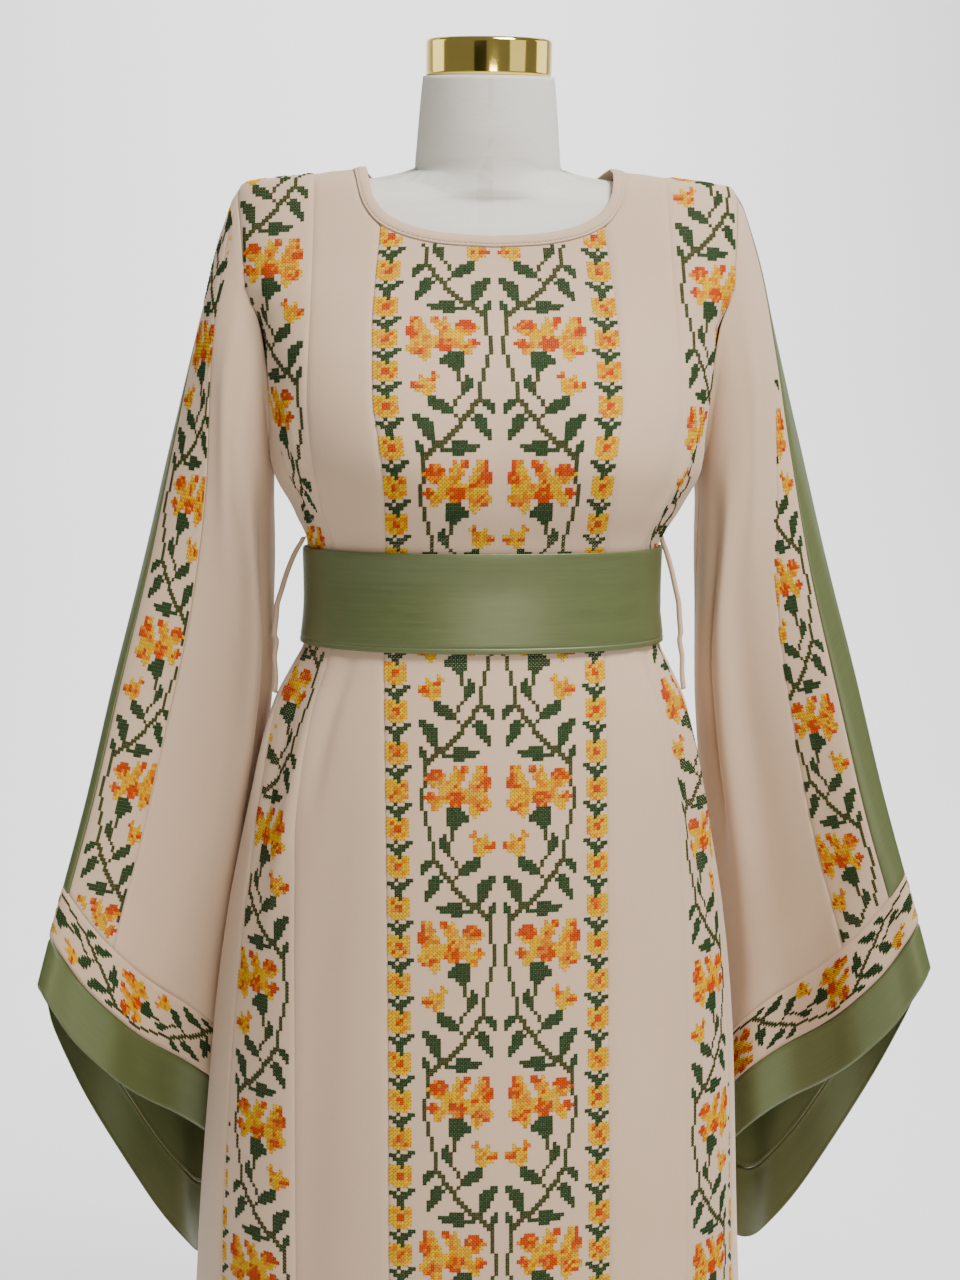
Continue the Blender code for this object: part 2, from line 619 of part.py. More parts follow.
def neck_bindings(robe, collection):
    bindings = (
        ("neck_binding_front", NECK_IN, NECK_OUT, False),
        ("neck_binding_back", BACK_IN, BACK_OUT, True),
    )
    for name, inner, outer, back in bindings:
        a = curve_of(outer, robe, 10, back)
        b = curve_of(inner, robe, 10, back)
        rows = np.linspace(0, 1, 3)[:, None, None]
        half = a[None] * (1 - rows) + b[None] * rows
        mirror = half[:, :0:-1].copy()
        mirror[..., 0] = (4 - mirror[..., 0]) if back else -mirror[..., 0]
        whole = np.concatenate([mirror, half], axis=1)
        if back:
            whole = whole[:, ::-1]
        link(robe.at(whole[..., 0], whole[..., 1]), name, collection, WALL, *CREPE)


class SleeveSurface:
    """One sleeve as a chart (round, along): round 0 the outer line, 0.25 the front, 0.5 the underarm."""

    def __init__(self, robe):
        self.robe = robe
        turn = np.linspace(0, 1, 241)
        self.turn = turn
        self.alongs = np.linspace(0, 1, 101)
        self.points = self.ring(turn[None, :], self.alongs[:, None])
        run = np.linalg.norm(np.diff(self.points, axis=1), axis=-1)
        self.run = np.concatenate([np.zeros((len(run), 1)), np.cumsum(run, axis=1)], axis=1)

    def loop(self, turn):
        """The armhole edge on the body, moved out to clear the body panels' edges."""
        angle = 2 * math.pi * turn
        z = ARMHOLE["mid"] + ARMHOLE["high"] * np.cos(angle)
        front = np.sin(angle) >= 0
        y = -np.where(front, ARMHOLE["front"], ARMHOLE["back"]) * np.sin(angle)
        a = self.robe.solve(1, np.minimum(y, 0), z, 0, 1)
        b = self.robe.solve(1, np.maximum(y, 0), z, 1, 2)
        around = np.where(front, a, b)
        points = self.robe.at(around, z)
        under = (1 - np.cos(angle)) / 2
        points[..., 0] += 0.0025 + 0.0038 * under**3
        points[..., 2] -= 0.0006 * (1 - under)
        return points

    def ring(self, turn, along):
        turn, along = np.broadcast_arrays(turn, along)
        blend = (1 - step_up(along, 0.0, 0.16))[..., None]
        start = self.loop(turn) - self.formula(turn, np.zeros_like(along))
        return self.formula(turn, along) + start * blend

    @staticmethod
    def change(along, names):
        """How far a line of the sleeve moves over a short way along it."""
        ahead = [column(SLEEVE, along + 0.04, name) for name in names]
        behind = [column(SLEEVE, along - 0.04, name) for name in names]
        return np.stack([a - b for a, b in zip(ahead, behind)], axis=-1)

    def formula(self, turn, along):
        read = {name: column(SLEEVE, along, name) for name in Sleeve._fields[1:]}
        out = np.stack([read["out_x"], read["out_y"], read["out_z"]], axis=-1)
        under = np.stack([read["in_x"], read["in_y"], read["in_z"]], axis=-1)
        reach = (out - under) / 2
        fall = self.change(along, ("in_x", "in_y", "in_z")) + self.change(along, ("out_x", "out_y", "out_z"))
        thick = -np.cross(reach, fall)
        thick /= np.linalg.norm(thick, axis=-1, keepdims=True)
        angle = 2 * math.pi * turn
        wave = SLEEVE_WAVES["out"] * along**2 * np.sin(SLEEVE_WAVES["count"] * angle + SLEEVE_WAVES["phase"])
        drop = (1 - np.cos(angle)) / 2
        side = np.sin(angle) * (1 - read["drop"] * (1 - 1.5 * drop))
        points = (out + under) / 2 + reach * np.cos(angle)[..., None]
        points = points + thick * (read["half"] * side + wave * np.abs(np.sin(angle)))[..., None]
        sag = read["sag"] * np.where(np.sin(angle) > 0, 1.3, 2 * drop) * np.abs(np.sin(angle))
        points[..., 2] += read["lift"] * np.sin(angle) * drop - sag
        return self.off_skirt(points)

    def off_skirt(self, points):
        """Moves what would meet the skirt outwards, softly, until it is clear of it."""
        z = points[..., 2]
        half = column(ROBE_RINGS, z, "half") * (1 + column(LEAN, z, "share")) + SKIRT_CLEAR
        front = column(ROBE_RINGS, z, "front")
        depth = np.where(points[..., 1] > 0, column(ROBE_RINGS, z, "back"), front) + SKIRT_CLEAR
        power = column(ROBE_RINGS, z, "power")
        across = (np.abs(points[..., 0]) / half) ** power
        level = (across + (np.abs(points[..., 1]) / depth) ** power) ** (1 / power)
        reach = (level + 1 + np.sqrt((level - 1) ** 2 + 0.0016)) / 2
        amount = (reach / level - 1) * step_up(1.10 - z, 0.0, 0.12)
        points[..., :2] *= 1 + amount[..., None]
        return points

    def turn_at(self, distance, along):
        """Round value at this distance along the ring from the outer line, positive to the front."""
        i = np.clip(np.round(np.asarray(along) * 100).astype(int), 0, 100)
        full = np.array([self.run[k, -1] for k in np.ravel(i)]).reshape(np.shape(i))
        wanted = np.where(np.asarray(distance) < 0, full + distance, distance)
        flat = [np.interp(w, self.run[k], self.turn) for w, k in zip(np.ravel(wanted), np.ravel(i))]
        value = np.array(flat).reshape(np.shape(wanted))
        return np.where(np.asarray(distance) < 0, value - 1, value)


def sleeves(robe, collection):
    sleeve = SleeveSurface(robe)
    rows = np.concatenate([[0, 0.03, 0.07, 0.12, 0.18], np.linspace(0.25, BAND_TOP - 0.0009, 10)])
    half = SEAM / 2
    for side, table, sign in (("r", TRIM_RIGHT, 1), ("l", TRIM_LEFT, -1)):
        satin_back = sleeve.turn_at(column(table, rows, "satin_back"), rows)
        satin_front = sleeve.turn_at(column(table, rows, "satin_front"), rows)
        stitched = sleeve.turn_at(column(table, rows, "stitched"), rows)
        length = np.interp(rows, sleeve.alongs, sleeve.run[:, -1])
        gap = half / length
        half_turn = np.full(len(rows), 0.5)
        pieces = (
            ("sleeve_satin_strip", satin_back + gap, satin_front - gap, 3, SATIN),
            ("sleeve_stitched_strip", satin_front + gap, stitched - gap, 4, STITCHED),
            ("sleeve_front", stitched + gap, half_turn - gap, 8, CREPE),
            ("sleeve_back", half_turn + gap, satin_back + 1 - 4 * gap, 10, CREPE),
        )
        for name, start, end, count, look in pieces:
            share = np.linspace(0, 1, count + 1)[None, :]
            turn = start[:, None] * (1 - share) + end[:, None] * share
            points = sleeve.ring(turn, np.broadcast_to(rows[:, None], turn.shape))
            if sign < 0:
                points = points[:, ::-1] * np.array([-1, 1, 1])
            link(points, f"{name}_{side}", collection, WALL, *look)
        ends = [np.linspace(start[-1], end[-1], count + 1)[:-1] for _, start, end, count, _ in pieces]
        turn = np.concatenate(ends)[None, :]
        cuffs = (
            ("cuff_band", BAND_TOP, BAND_END - 0.0006, 2, STITCHED),
            ("cuff_hem", BAND_END + 0.0006, 1.0, 2, SATIN),
        )
        for name, low, high, count, look in cuffs:
            along = np.linspace(low, high, count + 1)[:, None]
            points = sleeve.ring(*np.broadcast_arrays(turn, along))
            if sign < 0:
                points = points[:, ::-1] * np.array([-1, 1, 1])
            link(points, f"{name}_{side}", collection, WALL, *look, close=True)


def belt_and_loops(robe, collection):
    cols = np.linspace(-2 + 0.02, 2 + BELT["overlap"], 69)
    over = step_up(cols, 2 - 0.16, 2 - 0.05)
    out = WALL + BELT["gap"] + BELT["lift"] * over
    heights = np.array([BELT["low"], 1.046, 1.062, 1.080, 1.096, BELT["high"]])
    around, height = np.meshgrid(cols, heights)
    points = robe.at(around, height, np.broadcast_to(out, around.shape))
    link(points, "belt", collection, WALL, *SATIN)
    z = np.linspace(LOOP[0].height, LOOP[-1].height, 15)
    for side, sign in (("r", 1), ("l", -1)):
        out = WALL + 0.0016 + (column(LOOP, z, "out") - 0.0022) * LOOP_SHARE[side]
        edge = LOOP_WIDE / 2 / robe.front_length(z)
        edges = [robe.at(sign * (LOOP_ROUND + e * edge), z, out + e * 0.0008) for e in (-sign, sign)]
        grid = np.stack(edges, axis=1)
        link(grid, f"belt_loop_{side}", collection, LOOP_WALL, *CREPE)


def torso(collection):
    """Body rings joined smoothly to the leaning neck, closed flat at both ends."""
    low = np.linspace(0.785, 1.15, 12)
    chest = np.linspace(1.17, 1.38, 10)
    shoulder = (1.390, 1.398, 1.404, 1.410, 1.4145, 1.4175, 1.423, 1.430, 1.440, 1.454, 1.472, NECK["top"])
    heights = np.concatenate([[0.770, 0.773], low, chest, shoulder])
    count = 32
    turn = np.linspace(0, 2 * math.pi, count, endpoint=False)
    rings = []
    for height in heights:
        level = min(height, 1.4175)
        half = float(column(TORSO_RINGS, level, "half")) - TORSO_GAP
        power = float(column(TORSO_RINGS, level, "power"))
        front = max(float(column(TORSO_RINGS, level, "front")) - TORSO_GAP, 3e-4)
        back = max(float(column(TORSO_RINGS, level, "back")) - TORSO_GAP, 3e-4)
        if height > 1.4175:
            fade = max(1 - (height - 1.4175) / 0.006, 0)
            half, front, back = half * fade + 1e-4, front * fade + 1e-4, back * fade + 1e-4
        depth = np.where(np.cos(turn) > 0, front, back)
        angle = np.arctan2(max(half, 0.05) * np.sin(turn), np.maximum(depth, 0.045) * np.cos(turn))
        sin, cos = np.sin(angle), np.cos(angle)
        reach = ((np.abs(sin) / half) ** power + (np.abs(cos) / depth) ** power) ** (-1 / power)
        x = reach * sin
        y = -reach * cos
        y = y - bust_rise(x, height) * (y < -0.03)
        body = np.hypot(x, y)
        radius = float(smooth(height, [s.height for s in NECK_SIZES], [s.radius for s in NECK_SIZES]))
        centre = NECK["centre_y"] - NECK["lean"] * max(height - NECK["base"], -0.06)
        b = centre * cos
        neck = -b + np.sqrt(np.maximum(b * b - centre * centre + radius * radius, 1e-9))
        mid = step_up(-cos, -0.35, 0.35)
        fade = step_up(height, *NECK["fade_front"]) * (1 - mid) + step_up(height, *NECK["fade_back"]) * mid
        neck = neck * fade
        size = (body**7 + neck**7) ** (1 / 7)
        px, py = size * sin, -size * cos
        tilt = NECK["lean"] * float(step_up(height, 1.418, 1.452))
        lift = back_lift(height, py) * (1 - float(step_up(height, 1.418, 1.452))) + tilt * (py - centre)
        lift = lift - SHOULDER_DROP * float(step_up(height, 1.385, 1.402)) * (body > neck)
        rings.append(np.stack([px, py, height + lift], axis=-1))
    points = np.array(rings)
    obj = link(points, "form_torso", collection, 0, *LINEN, close=True)
    shape = bmesh.new()
    shape.from_mesh(obj.data)
    shape.verts.ensure_lookup_table()
    for ring in (range(count), range(len(shape.verts) - count, len(shape.verts))):
        shape.faces.new([shape.verts[i] for i in ring])
    bmesh.ops.recalc_face_normals(shape, faces=shape.faces)
    shape.to_mesh(obj.data)
    shape.free()
    return points[-1]


def turned(name, profile, collection, look, place=(0, 0, 0), lean=0.0, steps=36):
    """A solid of revolution from (radius, height) rows, whose first and last lie on the axis."""
    turn = np.linspace(0, 2 * math.pi, steps, endpoint=False)
    shape = bmesh.new()
    rings = []
    for radius, height in profile:
        if radius == 0:
            rings.append([shape.verts.new((0, 0, height))])
        else:
            ring = [(radius * math.cos(t), radius * math.sin(t), height) for t in turn]
            rings.append([shape.verts.new(point) for point in ring])
    for low, high in zip(rings, rings[1:]):
        for i in range(steps):
            k = (i + 1) % steps
            if len(low) == 1:
                shape.faces.new((low[0], high[k], high[i]))
            elif len(high) == 1:
                shape.faces.new((low[i], low[k], high[0]))
            else:
                shape.faces.new((low[i], low[k], high[k], high[i]))
    bmesh.ops.recalc_face_normals(shape, faces=shape.faces)
    mesh = bpy.data.meshes.new(name)
    shape.to_mesh(mesh)
    shape.free()
    obj = bpy.data.objects.new(name, mesh)
    obj.location = (place[0], place[1] + SHIFT_Y, place[2])
    obj.rotation_euler = (lean, 0, 0)
    collection.objects.link(obj)
    mesh.materials.append(material(name, *look))
    for face in mesh.polygons:
        face.use_smooth = True
    return obj


def stand(collection, neck_top):
    r, h, e = CAP["radius"], CAP["high"], CAP["edge"]
    centre = neck_top.mean(axis=0)
    lean = math.atan(NECK["lean"])
    lift = 0.0004
    place = (0, centre[1] - math.sin(lean) * lift, centre[2] + math.cos(lean) * lift)
    profile = ((0, 0), (r, 0), (r, h - e), (r - e * 0.3, h - e * 0.3), (r - e, h), (0, h))
    turned("form_neck_cap", profile, collection, GOLD, place, lean)
    r, h, e = BASE["radius"], BASE["high"], BASE["edge"]
    c, ch = BASE["collar"], BASE["collar_high"]
    bore = POLE["radius"] + 0.0003
    plate = ((0, 0), (r, 0), (r, h - e), (r - e, h), (c, h + 0.002))
    profile = (*plate, (c, ch), (bore, ch), (bore, 0.0182), (0, 0.0182))
    turned("form_base", profile, collection, STEEL, steps=40)
    r = POLE["radius"]
    profile = ((0, POLE["low"]), (r, POLE["low"]), (r, POLE["high"]), (0, POLE["high"]))
    turned("form_pole", profile, collection, STEEL, steps=24)


def main():
    for obj in list(bpy.data.objects):
        bpy.data.objects.remove(obj, do_unlink=True)
    collection = bpy.data.collections.new("thobe_robe_on_dress_form")
    bpy.context.scene.collection.children.link(collection)
    robe = Surface(ROBE_RINGS)
    body_panels(robe, collection)
    neck_bindings(robe, collection)
    sleeves(robe, collection)
    belt_and_loops(robe, collection)
    stand(collection, torso(collection))


main()
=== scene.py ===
"""Looks of a cross-stitched thobe robe with a satin belt, worn on a linen dress form.

Metres, +Z up, the robe's front faces -Y. Each cloth panel is a thin shell laid on the solid of the same
name, the cross-stitch is raised thread on the panels, and the dress form is finished linen, gold and steel.
"""

from __future__ import annotations

import json
import logging
import math
from dataclasses import dataclass, field
from enum import Enum
from typing import Sequence

import bmesh
import bpy
import numpy as np
from bpy.types import Material, Node, NodeSocket, Object
from mathutils import Vector
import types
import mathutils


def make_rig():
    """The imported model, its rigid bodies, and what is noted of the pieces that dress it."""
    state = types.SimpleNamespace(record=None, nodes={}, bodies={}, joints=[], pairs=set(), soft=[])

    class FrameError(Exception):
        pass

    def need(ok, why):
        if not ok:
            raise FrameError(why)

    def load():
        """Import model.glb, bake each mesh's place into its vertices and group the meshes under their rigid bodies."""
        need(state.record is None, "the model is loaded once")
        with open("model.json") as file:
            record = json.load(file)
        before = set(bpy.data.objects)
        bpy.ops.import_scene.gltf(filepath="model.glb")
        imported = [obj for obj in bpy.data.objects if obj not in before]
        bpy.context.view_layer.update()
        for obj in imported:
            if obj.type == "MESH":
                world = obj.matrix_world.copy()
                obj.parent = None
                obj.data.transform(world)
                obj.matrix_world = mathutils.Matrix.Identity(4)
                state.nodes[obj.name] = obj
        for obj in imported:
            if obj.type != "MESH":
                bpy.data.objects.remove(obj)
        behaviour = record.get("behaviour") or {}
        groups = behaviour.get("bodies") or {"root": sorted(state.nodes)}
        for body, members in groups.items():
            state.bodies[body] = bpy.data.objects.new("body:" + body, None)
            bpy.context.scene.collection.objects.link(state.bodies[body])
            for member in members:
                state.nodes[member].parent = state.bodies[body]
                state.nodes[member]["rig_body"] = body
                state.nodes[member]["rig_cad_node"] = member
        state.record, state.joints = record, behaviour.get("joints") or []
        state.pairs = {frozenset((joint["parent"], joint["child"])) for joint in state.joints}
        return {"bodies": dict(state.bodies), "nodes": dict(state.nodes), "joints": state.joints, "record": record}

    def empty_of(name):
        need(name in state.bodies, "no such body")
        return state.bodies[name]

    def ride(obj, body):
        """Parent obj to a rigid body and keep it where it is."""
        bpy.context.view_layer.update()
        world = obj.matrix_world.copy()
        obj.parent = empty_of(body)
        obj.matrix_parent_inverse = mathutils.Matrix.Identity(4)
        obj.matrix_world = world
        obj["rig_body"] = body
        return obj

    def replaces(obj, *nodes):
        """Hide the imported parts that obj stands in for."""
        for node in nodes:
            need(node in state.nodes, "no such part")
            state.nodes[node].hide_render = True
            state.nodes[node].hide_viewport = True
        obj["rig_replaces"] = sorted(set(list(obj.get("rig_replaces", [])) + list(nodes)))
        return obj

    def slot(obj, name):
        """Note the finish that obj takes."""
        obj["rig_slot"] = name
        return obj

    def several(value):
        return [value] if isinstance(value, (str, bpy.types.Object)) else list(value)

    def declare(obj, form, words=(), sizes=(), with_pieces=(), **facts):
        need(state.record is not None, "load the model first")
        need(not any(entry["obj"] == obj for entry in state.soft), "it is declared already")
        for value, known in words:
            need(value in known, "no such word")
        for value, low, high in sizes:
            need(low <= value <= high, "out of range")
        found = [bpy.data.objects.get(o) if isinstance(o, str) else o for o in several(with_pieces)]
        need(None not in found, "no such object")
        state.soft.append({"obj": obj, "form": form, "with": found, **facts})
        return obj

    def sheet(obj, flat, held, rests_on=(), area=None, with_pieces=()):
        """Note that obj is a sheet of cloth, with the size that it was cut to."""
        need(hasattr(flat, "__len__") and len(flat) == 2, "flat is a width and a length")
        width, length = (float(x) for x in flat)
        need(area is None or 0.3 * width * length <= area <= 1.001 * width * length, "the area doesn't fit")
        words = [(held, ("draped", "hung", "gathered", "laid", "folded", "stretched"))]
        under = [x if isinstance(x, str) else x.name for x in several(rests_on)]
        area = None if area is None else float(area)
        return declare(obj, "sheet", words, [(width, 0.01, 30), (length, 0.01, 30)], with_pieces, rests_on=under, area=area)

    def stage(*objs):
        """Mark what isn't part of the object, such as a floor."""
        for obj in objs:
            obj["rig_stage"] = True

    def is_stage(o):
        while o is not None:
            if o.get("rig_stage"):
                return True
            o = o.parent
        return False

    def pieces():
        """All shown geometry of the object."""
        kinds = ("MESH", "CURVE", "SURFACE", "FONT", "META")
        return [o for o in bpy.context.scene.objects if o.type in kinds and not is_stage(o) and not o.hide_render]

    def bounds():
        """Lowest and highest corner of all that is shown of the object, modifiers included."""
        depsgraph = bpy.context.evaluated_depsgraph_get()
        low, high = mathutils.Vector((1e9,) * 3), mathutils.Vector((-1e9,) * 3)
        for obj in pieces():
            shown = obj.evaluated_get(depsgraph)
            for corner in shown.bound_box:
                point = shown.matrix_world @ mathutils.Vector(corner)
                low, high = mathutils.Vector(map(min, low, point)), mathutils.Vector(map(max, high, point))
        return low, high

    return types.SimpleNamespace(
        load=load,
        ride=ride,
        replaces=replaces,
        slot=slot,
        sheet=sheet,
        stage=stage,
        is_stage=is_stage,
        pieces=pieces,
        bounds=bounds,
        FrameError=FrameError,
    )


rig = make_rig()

LOG = logging.getLogger("thobe")
Array = np.ndarray

WALL = 0.0015  # depth of a solid's cloth wall, whose outer face carries the shell
SHELL = 0.0008  # thickness of a shell
SHIFT_Y = -0.00912
HEM = 0.020
SPLIT = 1.280  # rows of a panel are level below this height
TOP = 1.418  # neck point of the shoulder seam


class Side(Enum):
    """Side of the robe, as a viewer in front sees it."""

    RIGHT = 1
    LEFT = -1

    @property
    def tag(self) -> str:
        """Letter that ends a piece's name."""
        return "r" if self is Side.RIGHT else "l"


class Edge(Enum):
    """Whether a neck or armhole line is on the front or the back."""

    FRONT = 0
    BACK = 1


def smooth(at: Array | float, stations: Sequence[float], values: Sequence[float]) -> Array:
    """Reads a monotone cubic through stations, held level beyond both ends.

    Args:
        at: where to read it.
        stations: rising positions.
        values: the value at each station.

    Returns:
        The values at the places asked for.
    """
    x = np.asarray(stations, float)
    y = np.asarray(values, float)
    place = np.clip(np.asarray(at, float), x[0], x[-1])
    step = np.diff(x)
    slope = np.diff(y) / step
    tangent = np.empty_like(y)
    tangent[0], tangent[-1] = slope[0], slope[-1]
    left, right = slope[:-1], slope[1:]
    w1, w2 = 2 * step[1:] + step[:-1], step[1:] + 2 * step[:-1]
    same = left * right > 0
    safe_left, safe_right = np.where(same, left, 1.0), np.where(same, right, 1.0)
    tangent[1:-1] = np.where(same, (w1 + w2) / (w1 / safe_left + w2 / safe_right), 0.0)
    i = np.clip(np.searchsorted(x, place, side="right") - 1, 0, len(x) - 2)
    h = step[i]
    t = (place - x[i]) / h
    low = (1 + 2 * t) * (1 - t) ** 2 * y[i] + t * (1 - t) ** 2 * h * tangent[i]
    return low + t * t * (3 - 2 * t) * y[i + 1] + t * t * (t - 1) * h * tangent[i + 1]


def step_up(value: Array | float, low: float, high: float) -> Array:
    """Smooth step from 0 at low to 1 at high."""
    t = np.clip((np.asarray(value, float) - low) / (high - low), 0, 1)
    return t * t * (3 - 2 * t)


def unit(vectors: Array) -> Array:
    """The same vectors at length 1."""
    return vectors / np.maximum(np.linalg.norm(vectors, axis=-1, keepdims=True), 1e-12)


def paired(around: Array | float, height: Array) -> Array:
    """Joins two coordinates in a last axis."""
    return np.stack(np.broadcast_arrays(around, height), axis=-1)


def run_of(points: Array) -> Array:
    """Distance run along a line of points, from 0 at its start."""
    return np.concatenate([[0], np.cumsum(np.linalg.norm(np.diff(points, axis=0), axis=-1))])


@dataclass(frozen=True)
class Table:
    """A short table of sizes, read by column name at any station of its first column."""

    names: str
    rows: tuple[tuple[float, ...], ...]

    def read(self, name: str, at: Array | float) -> Array:
        """Reads a column by name at stations in the units of the first one."""
        k = self.names.split().index(name)
        return smooth(at, [r[0] for r in self.rows], [r[k] for r in self.rows])


ROBE = Table("height half front back power", (
    (0.0, 0.258, 0.212, 0.23, 2.1), (0.25, 0.245, 0.192, 0.213, 2.1), (0.47, 0.2333, 0.171, 0.196, 2.1),
    (0.64, 0.2243, 0.156, 0.177, 2.12), (0.71, 0.2197, 0.149, 0.169, 2.14), (0.8, 0.2095, 0.14, 0.158, 2.16),
    (0.86, 0.199, 0.133, 0.148, 2.18), (0.914, 0.1885, 0.1265, 0.137, 2.2), (0.96, 0.1785, 0.1205, 0.124, 2.2),
    (0.985, 0.1705, 0.1165, 0.116, 2.2), (1.01, 0.158, 0.112, 0.105, 2.2), (1.032, 0.1475, 0.1085, 0.0945, 2.2),
    (1.072, 0.1445, 0.108, 0.091, 2.2), (1.112, 0.1447, 0.114, 0.092, 2.2), (1.145, 0.157, 0.1275, 0.0965, 2.3),
    (1.178, 0.1735, 0.1335, 0.1, 2.4), (1.213, 0.179, 0.1265, 0.102, 2.6), (1.25, 0.1835, 0.111, 0.1035, 2.8),
    (1.288, 0.191, 0.0885, 0.1035, 3.1), (1.325, 0.206, 0.0695, 0.0985, 3.4), (1.362, 0.2085, 0.0555, 0.0885, 3.5),
    (1.38, 0.207, 0.0485, 0.0795, 3.5), (1.3915, 0.2045, 0.044, 0.0725, 3.5), (1.402, 0.2, 0.038, 0.0625, 3.5),
    (1.41, 0.151, 0.029, 0.0455, 3.5), (1.418, 0.099, 0.002, 0.003, 3.5),
))
LEAN = Table("height share", (
    (0.0, 0.075), (0.5, 0.07), (0.7, 0.052), (0.8, 0.047), (0.95, 0.044), (1.033, 0.038), (1.112, 0.034),
    (1.15, 0.012), (1.2, 0.005), (1.25, 0.0),
))
BORDERS = Table("height centre plain", (
    (0.0, 0.087, 0.159), (0.583, 0.0867, 0.1585), (0.745, 0.0865, 0.1575), (0.88, 0.0868, 0.155),
    (0.93, 0.087, 0.149), (0.98, 0.0872, 0.14), (1.032, 0.087, 0.128), (1.112, 0.0853, 0.1255),
    (1.145, 0.0865, 0.133), (1.178, 0.089, 0.141), (1.235, 0.0959, 0.146), (1.281, 0.096, 0.1445),
    (1.33, 0.0925, 0.1425), (1.366, 0.089, 0.1415), (1.418, 0.088, 0.141),
))
SIDE_STRIP = Table("height width", (
    (0.0, 0.088), (0.5, 0.08), (0.66, 0.072), (0.8, 0.06), (0.88, 0.053), (1.0, 0.046), (1.032, 0.042),
    (1.112, 0.04), (1.18, 0.045), (1.24, 0.058),
))
SLEEVE = Table("along out_x out_y out_z in_x in_y in_z half drop lift sag", (
    (0.0, 0.2, 0.0, 1.402, 0.1775, 0.0, 1.182, 0.044, 0.0, 0.0, 0.0),
    (0.07, 0.2175, -0.001, 1.355, 0.1795, 0.006, 1.135, 0.048, 0.0, 0.0, 0.0),
    (0.15, 0.233, -0.003, 1.302, 0.1815, 0.018, 1.083, 0.05, 0.05, 0.0, 0.0),
    (0.3, 0.258, -0.008, 1.202, 0.186, 0.046, 0.983, 0.05, 0.15, 0.004, 0.0),
    (0.45, 0.2815, -0.014, 1.102, 0.198, 0.074, 0.882, 0.049, 0.3, 0.012, 0.004),
    (0.6, 0.3075, -0.02, 1.002, 0.21, 0.098, 0.785, 0.049, 0.42, 0.026, 0.01),
    (0.75, 0.332, -0.027, 0.902, 0.216, 0.12, 0.69, 0.049, 0.5, 0.046, 0.02),
    (0.86, 0.3505, -0.033, 0.835, 0.215, 0.134, 0.605, 0.05, 0.52, 0.064, 0.028),
    (0.93, 0.3625, -0.038, 0.792, 0.213, 0.142, 0.545, 0.051, 0.53, 0.077, 0.034),
    (1.0, 0.3735, -0.043, 0.75, 0.21, 0.15, 0.48, 0.052, 0.54, 0.09, 0.04),
))
TRIM = {
    Side.RIGHT: Table("along satin_back satin_front stitched", (
        (0.0, 0.004, 0.014, 0.017), (0.12, -0.004, 0.024, 0.03), (0.28, -0.01, 0.024, 0.052),
        (0.45, -0.012, 0.024, 0.078), (0.7, -0.012, 0.024, 0.086), (1.0, -0.012, 0.024, 0.086),
    )),
    Side.LEFT: Table("along satin_back satin_front stitched", (
        (0.0, -0.02, -0.006, 0.026), (0.12, -0.028, 0.002, 0.058), (0.28, -0.03, 0.006, 0.068),
        (0.45, -0.03, 0.006, 0.068), (0.7, -0.03, 0.006, 0.068), (1.0, -0.03, 0.006, 0.068),
    )),
}
NECK_IN = Table("x height", (
    (0, 1.357), (0.035, 1.359), (0.065, 1.365), (0.085, 1.376), (0.0945, 1.39), (0.0978, 1.4045), (0.0997, 1.418),
))
NECK_OUT = Table("x height", (
    (0, 1.349), (0.037, 1.351), (0.069, 1.3575), (0.0915, 1.3695), (0.1025, 1.386), (0.1068, 1.403),
    (0.1092, 1.416),
))
BACK_IN = Table("x height", (
    (0, 1.3905), (0.035, 1.391), (0.065, 1.3935), (0.084, 1.3985), (0.095, 1.405), (0.099, 1.4115), (0.0997, 1.418),
))
BACK_OUT = Table("x height", (
    (0, 1.382), (0.037, 1.3828), (0.07, 1.3858), (0.092, 1.3915), (0.104, 1.3995), (0.1082, 1.408), (0.1092, 1.416),
))
TORSO = Table("height half front back power", (
    (0.77, 0.16, 0.106, 0.12, 2.15), (0.82, 0.173, 0.116, 0.133, 2.15), (0.86, 0.1745, 0.117, 0.133, 2.18),
    (0.914, 0.169, 0.115, 0.124, 2.2), (0.96, 0.16, 0.111, 0.113, 2.2), (1.005, 0.146, 0.106, 0.099, 2.2),
    (1.032, 0.1385, 0.104, 0.0905, 2.2), (1.072, 0.137, 0.1035, 0.087, 2.2), (1.112, 0.137, 0.1075, 0.088, 2.2),
    (1.145, 0.15, 0.1215, 0.093, 2.3), (1.178, 0.163, 0.1327, 0.099, 2.4), (1.213, 0.1675, 0.1257, 0.1012, 2.6),
    (1.25, 0.172, 0.1077, 0.1027, 2.8), (1.288, 0.177, 0.0877, 0.1027, 3.1), (1.325, 0.185, 0.0687, 0.0977, 3.4),
    (1.362, 0.186, 0.0547, 0.0877, 3.5), (1.38, 0.184, 0.0477, 0.0787, 3.5), (1.3915, 0.18, 0.0432, 0.0717, 3.5),
    (1.402, 0.17, 0.0372, 0.0617, 3.5), (1.41, 0.14, 0.0275, 0.0437, 3.5), (1.4175, 0.09, 0.0015, 0.0025, 3.5),
))
NECK_SIZE = Table("height radius", (
    (1.36, 0.06), (1.418, 0.06), (1.44, 0.0585), (1.47, 0.0558), (1.4915, 0.0535),
))
LOOP = Table("height out", (
    (0.988, 0.0022), (0.996, 0.006), (1.015, 0.0185), (1.036, 0.0255), (1.058, 0.0255), (1.079, 0.0205),
    (1.1, 0.013), (1.1135, 0.0062), (1.12, 0.0022),
))
BELT_LOW, BELT_HIGH = 1.0318, 1.1115
BAND_TOP, BAND_END = 0.865, 0.933
BACK_BORDER = 1.16
SHOULDER_TIP = 0.1998  # distances from the middle along the shoulder seam
PLAIN_TOP = 0.141
NECK_SIDE = 0.1092
CENTRE_TOP = 0.0888  # distance from the middle of the centre seam's top, at the neck
ARMHOLE = (1.292, 0.110)  # height of the armhole's middle, and half its height
